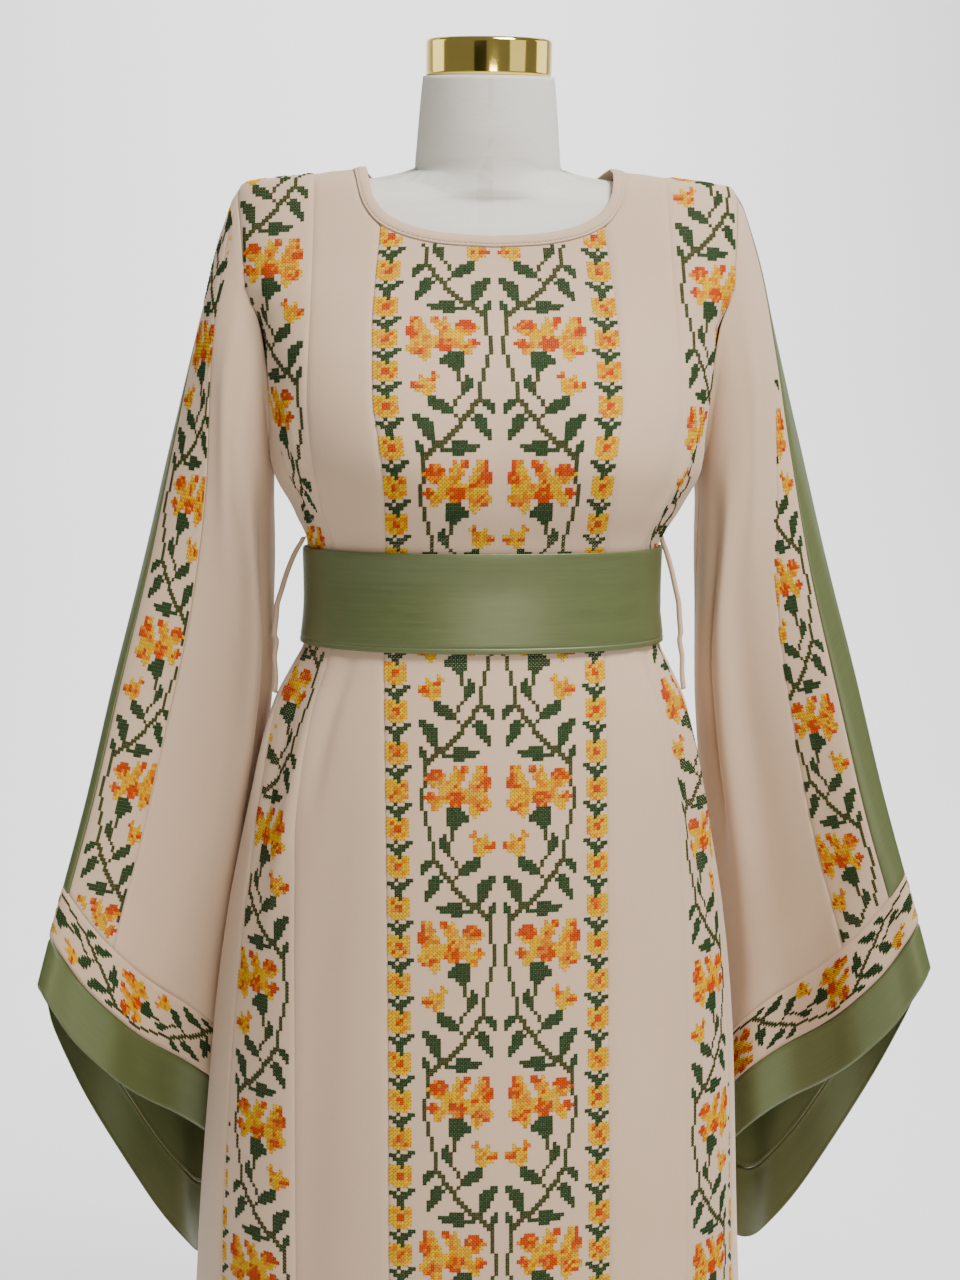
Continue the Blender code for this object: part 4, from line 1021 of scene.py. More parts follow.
@dataclass
class SleeveSurface:
    """One sleeve as a chart (turn, along): turn 0 the outer line, 0.25 the front, 0.5 the underarm."""

    robe: BodySurface
    turns: int = 360
    stations: int = 181
    points: Array = field(init=False)
    normals: Array = field(init=False)
    run: Array = field(init=False)
    turn: Array = field(init=False)
    alongs: Array = field(init=False)

    def __post_init__(self) -> None:
        """Works out the dense chart, its normals and the distance run round each ring."""
        self.turn = np.linspace(0, 1, self.turns + 1)
        self.alongs = np.linspace(0, 1, self.stations)
        turn, along = np.broadcast_arrays(self.turn[None, :], self.alongs[:, None])
        self.points = self.ring(turn, along)
        wide = np.concatenate([self.points[:, -2:-1], self.points, self.points[:, 1:2]], axis=1)
        d_turn = (wide[:, 2:] - wide[:, :-2]) / 2
        self.normals = unit(np.cross(d_turn, np.gradient(self.points, axis=0)))
        run = np.linalg.norm(np.diff(self.points, axis=1), axis=-1)
        self.run = np.concatenate([np.zeros((len(run), 1)), np.cumsum(run, axis=1)], axis=1)

    def loop(self, turn: Array, along: Array) -> Array:
        """The armhole edge on the body, which clears the body soon after the seam.

        Args:
            turn: place round the sleeve.
            along: place along it.

        Returns:
            (..., 3) points.
        """
        angle = 2 * math.pi * turn
        z = ARMHOLE[0] + ARMHOLE[1] * np.cos(angle)
        front = np.sin(angle) >= 0
        y = -np.where(front, ARMHOLE_FRONT, ARMHOLE_BACK) * np.sin(angle)
        a = self.robe.solve(1, np.minimum(y, 0), z, 0, 1)
        b = self.robe.solve(1, np.maximum(y, 0), z, 1, 2)
        points = self.robe.at(np.where(front, a, b), z)
        under = (1 - np.cos(angle)) / 2
        leave = step_up(along, 0.0, 0.012)
        points[..., 0] += (0.0025 + 0.0038 * under**3) * leave
        points[..., 2] -= 0.0006 * (1 - under)
        return points

    def ring(self, turn: Array, along: Array) -> Array:
        """The free form, blended into the armhole over the sleeve's first sixth."""
        blend = (1 - step_up(along, 0.0, 0.16))[..., None]
        return self.form(turn, along) + (self.loop(turn, along) - self.form(turn, np.zeros_like(along))) * blend

    def form(self, turn: Array, along: Array) -> Array:
        """Ellipse between the outer and underarm lines, thinned near the outer line, waved and sagged.

        Args:
            turn: place around the sleeve, 1 a full turn.
            along: 0 at the shoulder, 1 at the cuff.

        Returns:
            (..., 3) points.
        """
        names = SLEEVE.names.split()[1:]
        outer, inner = names[:3], names[3:6]
        read = {name: SLEEVE.read(name, along) for name in names}
        out = np.stack([read[n] for n in outer], axis=-1)
        under = np.stack([read[n] for n in inner], axis=-1)
        reach = (out - under) / 2
        fall = self.change(along, inner) + self.change(along, outer)
        thick = unit(-np.cross(reach, fall))
        angle = 2 * math.pi * turn
        wave = 0.014 * along**2 * np.sin(3 * angle + 0.9)
        drop = (1 - np.cos(angle)) / 2
        side = np.sin(angle) * (1 - read["drop"] * (1 - 1.5 * drop))
        points = (out + under) / 2 + reach * np.cos(angle)[..., None]
        points = points + thick * (read["half"] * side + wave * np.abs(np.sin(angle)))[..., None]
        sag = read["sag"] * np.where(np.sin(angle) > 0, 1.3, 2 * drop) * np.abs(np.sin(angle))
        points[..., 2] += read["lift"] * np.sin(angle) * drop - sag
        return self.off_skirt(points)

    @staticmethod
    def change(along: Array, names: Sequence[str]) -> Array:
        """How far a line of the sleeve moves over a short way along it."""
        return np.stack([SLEEVE.read(n, along + 0.04) - SLEEVE.read(n, along - 0.04) for n in names], axis=-1)

    @staticmethod
    def off_skirt(points: Array) -> Array:
        """Moves what would meet the skirt outwards, softly, until it is clear of it.

        Args:
            points: the points, which are moved in place.

        Returns:
            The same points.
        """
        z = points[..., 2]
        half = ROBE.read("half", z) * (1 + LEAN.read("share", z)) + 0.006
        depth = np.where(points[..., 1] > 0, ROBE.read("back", z), ROBE.read("front", z)) + 0.006
        power = ROBE.read("power", z)
        across = (np.abs(points[..., 0]) / half) ** power
        level = (across + (np.abs(points[..., 1]) / depth) ** power) ** (1 / power)
        reach = (level + 1 + np.sqrt((level - 1) ** 2 + 0.0016)) / 2
        amount = (reach / level - 1) * step_up(1.10 - z, 0.0, 0.12)
        points[..., :2] *= 1 + amount[..., None]
        return points

    def read(self, table: Array, turn: Array, along: Array) -> Array:
        """Reads the dense chart between its stations.

        Args:
            table: values at the stations.
            turn: place around the sleeve, 1 a full turn.
            along: 0 at the shoulder, 1 at the cuff.

        Returns:
            (..., 3) values.
        """
        turn, along = np.broadcast_arrays(np.mod(np.asarray(turn, float), 1.0), np.asarray(along, float))
        row = np.clip(along, 0, 1) * (self.stations - 1)
        col = turn * self.turns
        i = np.clip(row.astype(int), 0, self.stations - 2)
        j = np.clip(col.astype(int), 0, self.turns - 1)
        a, b = (row - i)[..., None], (col - j)[..., None]
        low = table[i, j] * (1 - b) + table[i, j + 1] * b
        return low * (1 - a) + (table[i + 1, j] * (1 - b) + table[i + 1, j + 1] * b) * a

    def normal(self, turn: Array, along: Array) -> Array:
        """Outward unit normal."""
        return unit(self.read(self.normals, turn, along))

    @staticmethod
    def fold(turn: Array, along: Array) -> Array:
        """Long soft folds that start at the armpit and the shoulder and open towards the cuff.

        Each is a bell across a line of the sleeve that drifts with the way along, times a rise and a fall.

        Args:
            turn: place around the sleeve, 1 a full turn.
            along: 0 at the shoulder, 1 at the cuff.

        Returns:
            How far out the cloth stands.
        """
        total = np.zeros(np.broadcast(turn, along).shape)
        for line, drift, wide, low, high, deep in SLEEVE_FOLDS:
            share = (along - low) / (high - low)
            gap = np.mod(turn - line - drift * along + 0.5, 1.0) - 0.5
            total = total + deep * np.exp(-((gap / wide) ** 2)) * np.sin(math.pi * np.clip(share, 0, 1)) ** 0.9
        return total

    def cloth(self, turn: Array, along: Array, lift: Array | float = 0.0) -> Array:
        """Point on the outer face of the folded cloth, lifted off it."""
        out = WALL + self.fold(turn, along) + lift
        return self.read(self.points, turn, along) + self.normal(turn, along) * np.asarray(out)[..., None]

    def turn_at(self, distance: Array, along: Array) -> Array:
        """Turn at this distance round the ring from the outer line, positive to the front.

        Args:
            distance: (rows, cols) metres.
            along: (rows,) or (rows, cols) place along the sleeve.

        Returns:
            (rows, cols) turns.
        """
        place = np.asarray(along) * (self.stations - 1)
        place = np.broadcast_to(place if place.ndim == 2 else place[:, None], distance.shape)
        low = np.clip(np.floor(place).astype(int), 0, self.stations - 2)
        found = []
        for ring in (low, low + 1):
            full = self.run[ring, -1]
            wanted = np.where(distance < 0, full + distance, distance)
            step = (wanted[..., None] >= self.run[ring][..., 1:-1]).sum(-1)
            start, end = self.run[ring, step], self.run[ring, step + 1]
            turn = self.turn[step] + (self.turn[step + 1] - self.turn[step]) * (wanted - start) / (end - start)
            found.append(np.where(distance < 0, turn - 1, turn))
        share = np.clip(place - low, 0, 1)
        return found[0] * (1 - share) + found[1] * share


# ---- cross-stitch


class Thread(Enum):
    """Thread colours, linear, in the order of the chart's codes."""

    LEAF = (0.022, 0.048, 0.016)
    STEM = (0.046, 0.052, 0.016)
    GOLD = (0.640, 0.350, 0.001)
    ORANGE = (0.600, 0.175, 0.001)
    RED = (0.460, 0.048, 0.003)


CODES = "gsYOR"  # leaf, stem, gold, orange, red

CARNATION = """
.ROY..RR.Y........
.ROY..RROY...RRR..
.ROOY..OOYY.RRRRR.
RROOY..OOOY.ORRRRO
RRROYY..OOYYYOOOY.
RRROOY..YOYYYYOY..
.OOOOOYYOYOYYY....
.YYYYYYORRROYY.OR.
.YYOYYYRRRRRYYORRR
YOOOOOYRRRROYYOOR.
YOOROO..RRR..YYO..
.RROOY........YY..
...YYY............
....Y.............
""".split()

FLOWER_BAND = """
gg..g..
.ggg.gg
..gggg.
...gg..
.YYgYYY
.YOYYOY
.YYRRYY
.YYRRYY
.YOYYOY
..YYYY.
""".split()

# (row from, row to, column from, column to), rows downwards, columns outwards from the inner edge
VINE = (
    (0, 5, 3, 3), (6, 11, 2, 2), (12, 15, 3, 3), (16, 19, 4, 4), (20, 23, 5, 5), (24, 24, 5, 5), (25, 25, 5, 6),
    (26, 26, 6, 7), (27, 27, 7, 7), (28, 28, 7, 8), (29, 29, 8, 9), (30, 30, 9, 10), (31, 31, 10, 10),
    (32, 32, 10, 11), (33, 33, 11, 12), (34, 34, 12, 13), (35, 35, 13, 14), (36, 36, 14, 16), (37, 37, 15, 17),
    (38, 38, 17, 18), (39, 39, 18, 19), (40, 40, 19, 20), (17, 19, 10, 10), (20, 23, 9, 9), (24, 24, 10, 10),
    (25, 26, 11, 11), (27, 28, 12, 12), (29, 29, 11, 11),
)
LEAVES = (
    (11, 11, 9, 12), (12, 12, 9, 13), (13, 14, 9, 14), (15, 15, 9, 12), (16, 16, 10, 11),
    (18, 18, 8, 8), (19, 21, 7, 8), (22, 22, 8, 9),
    (25, 25, 3, 4), (26, 26, 2, 4), (27, 27, 2, 3), (28, 28, 2, 2),
    (29, 29, 5, 6), (30, 30, 4, 7), (31, 32, 4, 6), (33, 33, 3, 5), (34, 34, 3, 4), (35, 35, 3, 3),
    (36, 36, 9, 12), (37, 37, 6, 12), (38, 38, 7, 15), (39, 39, 10, 12),
    (29, 29, 20, 21), (30, 30, 18, 21), (31, 32, 17, 20), (33, 34, 17, 19), (35, 35, 17, 18), (36, 36, 17, 17),
    (36, 36, 21, 21), (37, 38, 20, 21), (39, 39, 20, 20),
    (24, 24, 16, 17), (25, 25, 14, 17), (26, 26, 13, 17), (27, 27, 13, 16), (28, 28, 12, 14),
)
BUD = (
    (17, 17, 16, 16, "O"), (18, 18, 15, 16, "O"), (18, 18, 19, 19, "Y"), (19, 19, 16, 17, "O"),
    (19, 19, 18, 19, "Y"), (20, 20, 16, 18, "Y"), (20, 20, 19, 21, "O"), (21, 21, 16, 17, "O"),
    (21, 21, 18, 18, "Y"), (21, 21, 19, 21, "R"), (22, 22, 16, 20, "Y"), (23, 23, 17, 18, "Y"),
)


@dataclass
class Chart:
    """The charted repeat: a vine with one carnation and one bud, 22 stitches wide and 41 rows long."""

    wide: int = 22
    rows: int = 41
    half: Array = field(init=False)
    turned: Array = field(init=False)
    band: Array = field(init=False)

    def __post_init__(self) -> None:
        """Fills the chart with code numbers, -1 where the cloth is bare."""
        self.half = np.full((self.rows, self.wide), -1)
        for low, high, a, b in VINE:
            self.half[low : high + 1, a - 1 : b] = CODES.index("s")
        for low, high, a, b in LEAVES:
            self.half[low : high + 1, a - 1 : b] = CODES.index("g")
        for low, high, a, b, code in BUD:
            self.half[low : high + 1, a - 1 : b] = CODES.index(code)
        self.turned = self.half[:, ::-1].copy()
        flower = self.picture(CARNATION)
        for sheet, petals, first in ((self.half, flower[:, ::-1], 4), (self.turned, flower, 2)):
            part = sheet[: petals.shape[0], first : first + petals.shape[1]]
            part[...] = np.where(petals >= 0, petals, part)
        self.band = self.picture(FLOWER_BAND)

    @staticmethod
    def picture(lines: Sequence[str]) -> Array:
        """Turns rows of code letters into code numbers."""
        return np.array([[CODES.find(c) for c in line] for line in lines])

    def vine(self, rows: Array, first: int = 0) -> Array:
        """Codes of the vine, 22 columns from the inner edge, every other repeat (or from first=1) turned round."""
        repeat, row = np.divmod(rows, self.rows)
        return np.where(((repeat + first) % 2 == 0)[:, None], self.half[row], self.turned[row])

    def flowers(self, rows: Array) -> Array:
        """Codes of the narrow flower band at these running rows, four flowers to a repeat of the vine.

        The fourth flower has its stem row twice, which makes up the repeat's 41 rows.

        Args:
            rows: running row numbers.

        Returns:
            (rows, 7) codes, column 0 at the inner edge.
        """
        row = np.mod(rows, self.rows)
        order = np.concatenate([np.tile(np.arange(10), 3), np.arange(4), np.arange(3, 10)])
        return self.band[order[row]]

    def panel(self, rows: Array, first: int = 0) -> Array:
        """Codes of the vine, a bare column and the flower band side by side, 30 columns in all."""
        return np.concatenate([self.vine(rows, first), np.full((len(rows), 1), -1), self.flowers(rows)], axis=1)


@dataclass
class CrossStitch:
    """Raised thread crosses laid on a lattice of cloth points.

    Each cell takes a lower thread from one corner to the other, shaped like a low roof, and an upper
    thread across it that arches over. Their edges are sunk a little into the cloth.
    """

    finish: Material
    seed: int = 7
    half_width: float = 0.33  # of a cell
    sink: float = 0.00010

    def lay(self, name: str, points: Array, normals: Array, codes: Array) -> Object:
        """Builds the stitches of one panel.

        Args:
            name: the piece's name.
            points: (rows + 1, cols + 1, 3) corners on the cloth.
            normals: outward normals there.
            codes: (rows, cols) code numbers, -1 for none.

        Returns:
            The stitches as one object.
        """
        r, c = np.nonzero(codes >= 0)
        corner = [points[r, c], points[r, c + 1], points[r + 1, c], points[r + 1, c + 1]]
        up = unit(normals[r, c] + normals[r + 1, c + 1])
        noise = np.random.default_rng(self.seed)
        area = np.linalg.norm(np.cross(corner[1] - corner[0], corner[2] - corner[0]), axis=-1, keepdims=True)
        wide = np.sqrt(area) * self.half_width
        lower = self.strand(corner[0], corner[3], up, wide, (0.00022, 0.00022), (0.06, 0.94))
        upper = self.strand(corner[2], corner[1], up, wide, (0.00026, 0.00062, 0.00026), (0.04, 0.5, 0.96))
        count = len(r)
        shade = np.array([t.value for t in Thread])[self.shaded(codes[r, c], noise)]
        shade = shade * (1 + noise.normal(0, 0.07, (count, 1))) * (1 + noise.normal(0, 0.035, (count, 3)))
        faces = [self.faces(count, 2, 0), self.faces(count, 3, count * 6)]
        all_points = np.concatenate([lower.reshape(-1, 3), upper.reshape(-1, 3)])
        obj = new_mesh(name, all_points, np.concatenate(faces))
        # each stitch's thread colour, with the lower thread painted at 0.56 of it: painted shade under the upper thread
        tint_with_painted_shade = np.concatenate([np.repeat(shade * 0.56, 6, axis=0), np.repeat(shade, 9, axis=0)])
        layer = obj.data.attributes.new("thread", "FLOAT_COLOR", "POINT")
        rgba = np.concatenate([np.clip(tint_with_painted_shade, 0, 1), np.ones((len(tint_with_painted_shade), 1))], axis=1)
        layer.data.foreach_set("color", rgba.astype(np.float32).ravel())
        obj.data.materials.append(self.finish)
        LOG.info("%s: %d stitches", name, count)
        return obj

    @staticmethod
    def shaded(codes: Array, noise: np.random.Generator) -> Array:
        """Shades the petals: here and there a gold, orange or red stitch takes the colour next to it.

        Args:
            codes: (n,) code numbers.
            noise: source of the scatter.

        Returns:
            (n,) code numbers.
        """
        roll = noise.random(len(codes))
        step = np.where(codes == 3, -1.0 * (roll < 0.35) + (roll > 0.85), 0) + (codes == 2) * (roll < 0.13)
        return codes + (step - (codes == 4) * (roll < 0.22)).astype(int)

    @staticmethod
    def strand(start: Array, end: Array, up: Array, wide: Array, rises: Sequence[float],
               places: Sequence[float]) -> Array:
        """Stations of one thread, each with its two sunk edges and its crest.

        A station is start + (end - start) * place, its edges wide to either side and its crest raised.

        Args:
            start: (n, 3) first corner.
            end: (n, 3) last corner.
            up: (n, 3) normal.
            wide: (n, 1) half its width.
            rises: crest height at each station.
            places: share of the way at each station.

        Returns:
            (n, stations * 3, 3) points.
        """
        way = end - start
        side = unit(np.cross(up, way)) * wide
        rows = []
        for rise, place in zip(rises, places):
            base = start + way * place
            low = max(rise - 0.0004, 0) - CrossStitch.sink
            rows += [base + side + up * low, base + up * (rise + 0.00012), base - side + up * low]
        return np.stack(rows, axis=1)

    @staticmethod
    def faces(count: int, stations: int, first: int) -> Array:
        """Quads along every strand, two a stage, facing up.

        Args:
            count: how many strands.
            stations: stations of a strand.
            first: number of the first vertex.

        Returns:
            (n, 4) vertex numbers.
        """
        quads = [(a, a + 1, a + 4, a + 3) for s in range(stations - 1) for a in (s * 3, s * 3 + 1)]
        base = first + np.arange(count) * stations * 3
        return (base[:, None, None] + np.array(quads)[None]).reshape(-1, 4)


# ---- the robe


@dataclass
class Looks:
    """Every finish of the object, made once."""

    crepe: Material = field(default_factory=CrepeFinish().make)
    satin: Material = field(default_factory=SatinFinish().make)
    thread: Material = field(default_factory=ThreadFinish().make)
    crepe_thread: Material = field(
        default_factory=CrepeFinish("sewing thread", (0.500, 0.385, 0.285)).make)
    linen: Material = field(default_factory=LinenFinish().make)
    gold: Material = field(default_factory=MetalFinish("polished gold", (0.88, 0.66, 0.16), 0.07).make)
    steel: Material = field(
        default_factory=MetalFinish("brushed steel", (0.60, 0.60, 0.61), 0.28, 1.0).make)


def dress(obj: Object, node: str, finish: Material, shell: float = 0.0) -> Object:
    """Finishes a piece that stands for a CAD node: its material, its thickness and its place in the part.

    Args:
        obj: the piece.
        node: the CAD node it replaces.
        finish: its material.
        shell: cloth thickness, laid inwards, or 0 for a closed piece.

    Returns:
        The piece.
    """
    obj.data.materials.append(finish)
    if shell:
        wall = obj.modifiers.new("cloth", "SOLIDIFY")
        wall.thickness = shell
        wall.offset = -1.0
        wall.use_even_offset = False
        wall.use_quality_normals = True
    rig.ride(obj, "root")
    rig.replaces(obj, node)
    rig.slot(obj, node)
    LOG.info("%s replaces %s", obj.name, node)
    return obj


def attach(obj: Object, slot: str) -> Object:
    """Rides an added piece on the part, with the finish slot of the node it is sewn to.

    Args:
        obj: the piece.
        slot: the finish slot.

    Returns:
        The same piece.
    """
    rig.ride(obj, "root")
    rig.slot(obj, slot)
    return obj


# flat width, length and area of each piece in metres, without seam allowances; of a pair, the right one first
CUTS = {
    "front_centre_panel": ((0.193, 1.374, 0.241),),
    "front_plain_panel": ((0.075, 1.46, 0.0956), (0.082, 1.451, 0.103)),
    "front_side_panel": ((0.082, 1.445, 0.091), (0.0935, 1.444, 0.0997)),
    "side_panel": ((0.176, 1.264, 0.1387), (0.182, 1.262, 0.1417)),
    "back_panel": ((0.649, 1.484, 0.713),),
    "neck_binding_front": ((0.337, 0.0125, 0.003),),
    "neck_binding_back": ((0.33, 0.0122, 0.0032),),
    "sleeve_satin_strip": ((0.031, 0.593, 0.0159), (0.033, 0.598, 0.0176)),
    "sleeve_stitched_strip": ((0.051, 0.602, 0.0166), (0.049, 0.593, 0.0241)),
    "sleeve_front": ((0.165, 0.645, 0.0706), (0.175, 0.623, 0.072)),
    "sleeve_back": ((0.219, 0.597, 0.1214), (0.207, 0.668, 0.1121)),
    "cuff_band": ((0.805, 0.046, 0.0298), (0.794, 0.048, 0.0298)),
    "cuff_hem": ((0.877, 0.072, 0.0322), (0.884, 0.073, 0.0322)),
    "belt": ((0.84, 0.0788, 0.0658),),
    "belt_loop": ((0.013, 0.146, 0.00189), (0.013, 0.146, 0.00189)),
}


def declare(obj: Object, node: str, extra: Sequence[Object] = (), held: str = "hung",
            on: Sequence[str] = ("form_torso",)) -> None:
    """Declares a sheet by its cut.

    Args:
        obj: the sheet.
        node: the CAD node it stands for.
        extra: the pieces on it.
        held: how it is held.
        on: what it rests on.
    """
    name, _, tag = node.rpartition("_")
    wide, long, area = CUTS[name]["rl".index(tag)] if tag in ("r", "l") else CUTS[node][0]
    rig.sheet(obj, flat=(wide, long), held=held, rests_on=list(on), area=area, with_pieces=list(extra))
    LOG.info("%s: cut %.3f x %.3f m, %.4f m2", obj.name, wide, long, area)


@dataclass
class BodyPanels:
    """The panels of the robe's body, each a grid between its four borders, with their cross-stitch."""

    robe: BodySurface
    looks: Looks
    chart: Chart
    stitches: CrossStitch
    low_rows: int = 190
    high_rows: int = 46
    pitch: float = STITCH
    flower_run: float = 1.2731  # way up the front middle, from the hem to the middle of repeat 0's carnation

    def rise(self) -> Array:
        """Shares of the way from SPLIT to a panel's top, closer together at the top."""
        return 1 - (1 - np.linspace(0, 1, self.high_rows + 1)[1:]) ** 1.6

    def rows_to(self, top: float) -> Array:
        """Row heights of one border: level up to SPLIT, then shared out up to its own top."""
        return np.concatenate([np.linspace(HEM, SPLIT, self.low_rows), SPLIT + (top - SPLIT) * self.rise()])

    def neckline(self) -> tuple[Array, Array, float]:
        """The front's neck edge: its places, their distances from the middle, and the centre seam's top."""
        neck = self.robe.curve_of(NECK_OUT, 161, Edge.FRONT)
        x = self.robe.read(self.robe.points, neck[:, 0], neck[:, 1])[:, 0]
        return neck, x, float(np.interp(CENTRE_TOP, x, neck[:, 1]))

    @staticmethod
    def patch(left: Array, right: Array, top: Array, shares: Array) -> Array:
        """Fills four borders with a grid: a straight blend across, bent to the top border near it.

        Args:
            left: (rows, 2) places (around, height).
            right: (rows, 2) places.
            top: (cols, 2) places at the shares.
            shares: (cols,) share across of each column.

        Returns:
            (rows, cols, 2) places.
        """
        rise = (left[:, 1] - left[0, 1]) / (left[-1, 1] - left[0, 1])
        f = shares[None, :, None]
        across = left[:, None] * (1 - f) + right[:, None] * f
        head = top[None] - (top[0] * (1 - f) + top[-1] * f)
        return across + head * rise[:, None, None] ** 6

    def seam_dip(self, grid: Array, shares: Array) -> Array:
        """Lowers the cloth a little right beside a seam, as a bell of the distance to it.

        Args:
            grid: (around, height) places.
            shares: 0 at one seam, 1 at the other.

        Returns:
            How far out the cloth stands.
        """
        wide = np.abs(grid[:, -1:, 0] - grid[:, :1, 0]) * self.robe.front_length(grid[:, :1, 1])
        near = np.minimum(shares, 1 - shares)[None, :]
        return -0.0009 * np.exp(-((near * wide / 0.0016) ** 2))

    def shell(self, name: str, grid: Array, shares: Array, finish: Material) -> Object:
        """Makes a panel from its grid of places."""
        points = self.robe.cloth(grid[..., 0], grid[..., 1], self.seam_dip(grid, shares))
        return dress(cloth_mesh(name, points), name.removesuffix("_cloth"), finish, SHELL)

    def stitch_rows(self, top: float, column: float, flower_run: float, pitch: float) -> tuple[Array, Array]:
        """Corner heights of stitch rows up one column of the cloth from the hem, and their running row numbers.

        Args:
            top: highest height.
            column: place around of the column.
            flower_run: way up it to the middle of repeat 0's carnation.
            pitch: height of a stitch.

        Returns:
            Heights of the corners, downwards, and the row number of each cell.
        """
        heights = np.linspace(HEM, 1.417, 1600)
        points = self.robe.at(np.full_like(heights, column), heights)
        run = run_of(points)
        zero = flower_run + 6.5 * pitch
        first = int(math.floor((zero - np.interp(top, heights, run)) / pitch)) + 1
        last = int(math.floor((zero - np.interp(HEM + 0.004, heights, run)) / pitch)) - 1
        numbers = np.arange(first, last + 1)
        return np.interp(zero - np.arange(first, last + 2) * pitch, run, heights), numbers

    def lay(self, name: str, around: Array, height: Array, codes: Array) -> Object:
        """Lays stitches on a lattice of places of the body.

        Args:
            name: name of the stitches.
            around: place around the ring of each cell.
            height: ring height of each cell.
            codes: thread of each cell.

        Returns:
            The stitches.
        """
        points = self.robe.cloth(around, height)
        normals = self.robe.normal(around, height)
        return self.stitches.lay(name, points, normals, codes)

    def front_centre(self) -> None:
        """The middle panel, from the hem to the neck, stitched across all its width."""
        robe = self.robe
        neck, neck_x, top_z = self.neckline()
        z = self.rows_to(top_z)
        middle = paired(0.0, self.rows_to(float(neck[0, 1])))
        outer = paired(robe.seam("centre", z), z)
        shares = edge_shares(56)
        shares = shares[shares >= 0.5] * 2 - 1
        shares = np.concatenate([[0.0], shares[shares > 1e-6]])
        top_x = shares * CENTRE_TOP
        top_h = np.interp(top_x, neck_x, neck[:, 1])
        top = paired(robe.solve(0, top_x, top_h, 0, 1), top_h)
        top[0], top[-1] = middle[-1], outer[-1]
        half = self.patch(middle, outer, top, shares)
        whole = np.concatenate([half[:, :0:-1] * np.array([-1, 1]), half], axis=1)
        both = np.concatenate([(1 - shares[:0:-1]) / 2, (1 + shares) / 2])
        obj = self.shell("front_centre_panel_cloth", whole, both, self.looks.crepe)

        heights, rows = self.stitch_rows(1.392, 0.0, self.flower_run, self.pitch)
        border = robe.seam("centre", heights) - 0.0008 / robe.front_length(heights)
        around = border[:, None] * (np.arange(-30, 31) / 30)[None, :]
        height = np.broadcast_to(heights[:, None], around.shape)
        right = self.chart.panel(rows)
        codes = np.concatenate([right[:, ::-1], right], axis=1)
        x = robe.read(robe.points, (around[:-1, :-1] + around[1:, 1:]) / 2, (height[:-1, :-1] + height[1:, 1:]) / 2)
        limit = np.interp(np.abs(x[..., 0]), neck_x, neck[:, 1]) - 0.0012
        codes = np.where(height[:-1, :-1] < limit, codes, -1)
        sewn = attach(self.lay("front_centre_stitches", around, height, codes), "front_centre_panel")
        declare(obj, "front_centre_panel", [sewn])

    def neck_and_plain(self) -> None:
        """The plain panels beside the middle one, up to the shoulder."""
        robe = self.robe
        neck, _, seam_top = self.neckline()
        z = self.rows_to(float(neck[-1, 1]))
        seam = robe.seam("centre", z)
        inner = paired(np.where(z > seam_top, np.maximum(seam, np.interp(z, neck[:, 1], neck[:, 0])), seam), z)
        shares = edge_shares(20)
        ridge = robe.ridge_line(NECK_SIDE * (1 - shares) + PLAIN_TOP * shares)
        inner[-1] = ridge[0]
        z = self.rows_to(float(ridge[-1, 1]))
        outer = paired(robe.seam("plain", z), z)
        outer[-1] = ridge[-1]
        self.pair("front_plain_panel", self.patch(inner, outer, ridge, shares), shares, self.looks.crepe)

    def pair(self, name: str, grid: Array, shares: Array, finish: Material) -> None:
        turned = grid[:, ::-1] * np.array([-1, 1])
        for side, places, share in ((Side.RIGHT, grid, shares), (Side.LEFT, turned, 1 - shares[::-1])):
            obj = self.shell(f"{name}_{side.tag}_cloth", places, share, finish)
            if "front_side" not in name:
                declare(obj, f"{name}_{side.tag}")

    def front_side(self) -> None:
        """The cross-stitched panels at the sides, from the shoulder and the armhole to the hem."""
        robe = self.robe
        shares = edge_shares(24)
        ridge = robe.ridge_line(PLAIN_TOP * (1 - shares) + SHOULDER_TIP * shares)
        z = self.rows_to(float(ridge[0, 1]))
        inner = paired(robe.seam("plain", z), z)
        inner[-1] = ridge[0]
        z = self.rows_to(float(ridge[-1, 1]))
        outer = paired(robe.side_edge(z), z)
        outer[-1] = ridge[-1]
        grid = self.patch(inner, outer, ridge, shares)
        self.pair("front_side_panel", grid, shares, self.looks.crepe)
        runs = {Side.RIGHT: (0.9725, 0.1155), Side.LEFT: (0.984, 0.1175)}
        for side, (flower, unit) in runs.items():
            self.side_stitches(side, flower + unit * 3, unit / self.chart.rows)

    def side_stitches(self, side: Side, flower_run: float, pitch: float) -> None:
        """The vine down one side panel, cropped by its seams.

        Args:
            side: which panel.
            flower_run: way up the panel's middle to repeat 0's carnation.
            pitch: height of a stitch.
        """
        robe = self.robe
        heights, rows = self.stitch_rows(1.4165, 0.72, flower_run, pitch)
        outer = robe.side_edge(heights)
        length = robe.front_length(heights)
        start = robe.seam("plain", heights) + 0.0016 / length
        around = start[:, None] + np.arange(31)[None, :] * 0.00285 / length[:, None]
        height = np.broadcast_to(heights[:, None], around.shape)
        edge = np.minimum(outer[:-1], outer[1:])[:, None] - 0.0014 / length[:-1, None]
        codes = self.chart.panel(rows, 0 if side is Side.RIGHT else 1)
        codes = np.where(around[:-1, 1:] < np.minimum(edge, 0.997), codes, -1)
        node = f"front_side_panel_{side.tag}"
        if side is Side.LEFT:
            around, height, codes = -around[:, ::-1], height[:, ::-1], codes[:, ::-1]
        sewn = attach(self.lay(f"front_side_stitches_{side.tag}", around, height, codes), node)
        declare(bpy.data.objects[node + "_cloth"], node, [sewn])

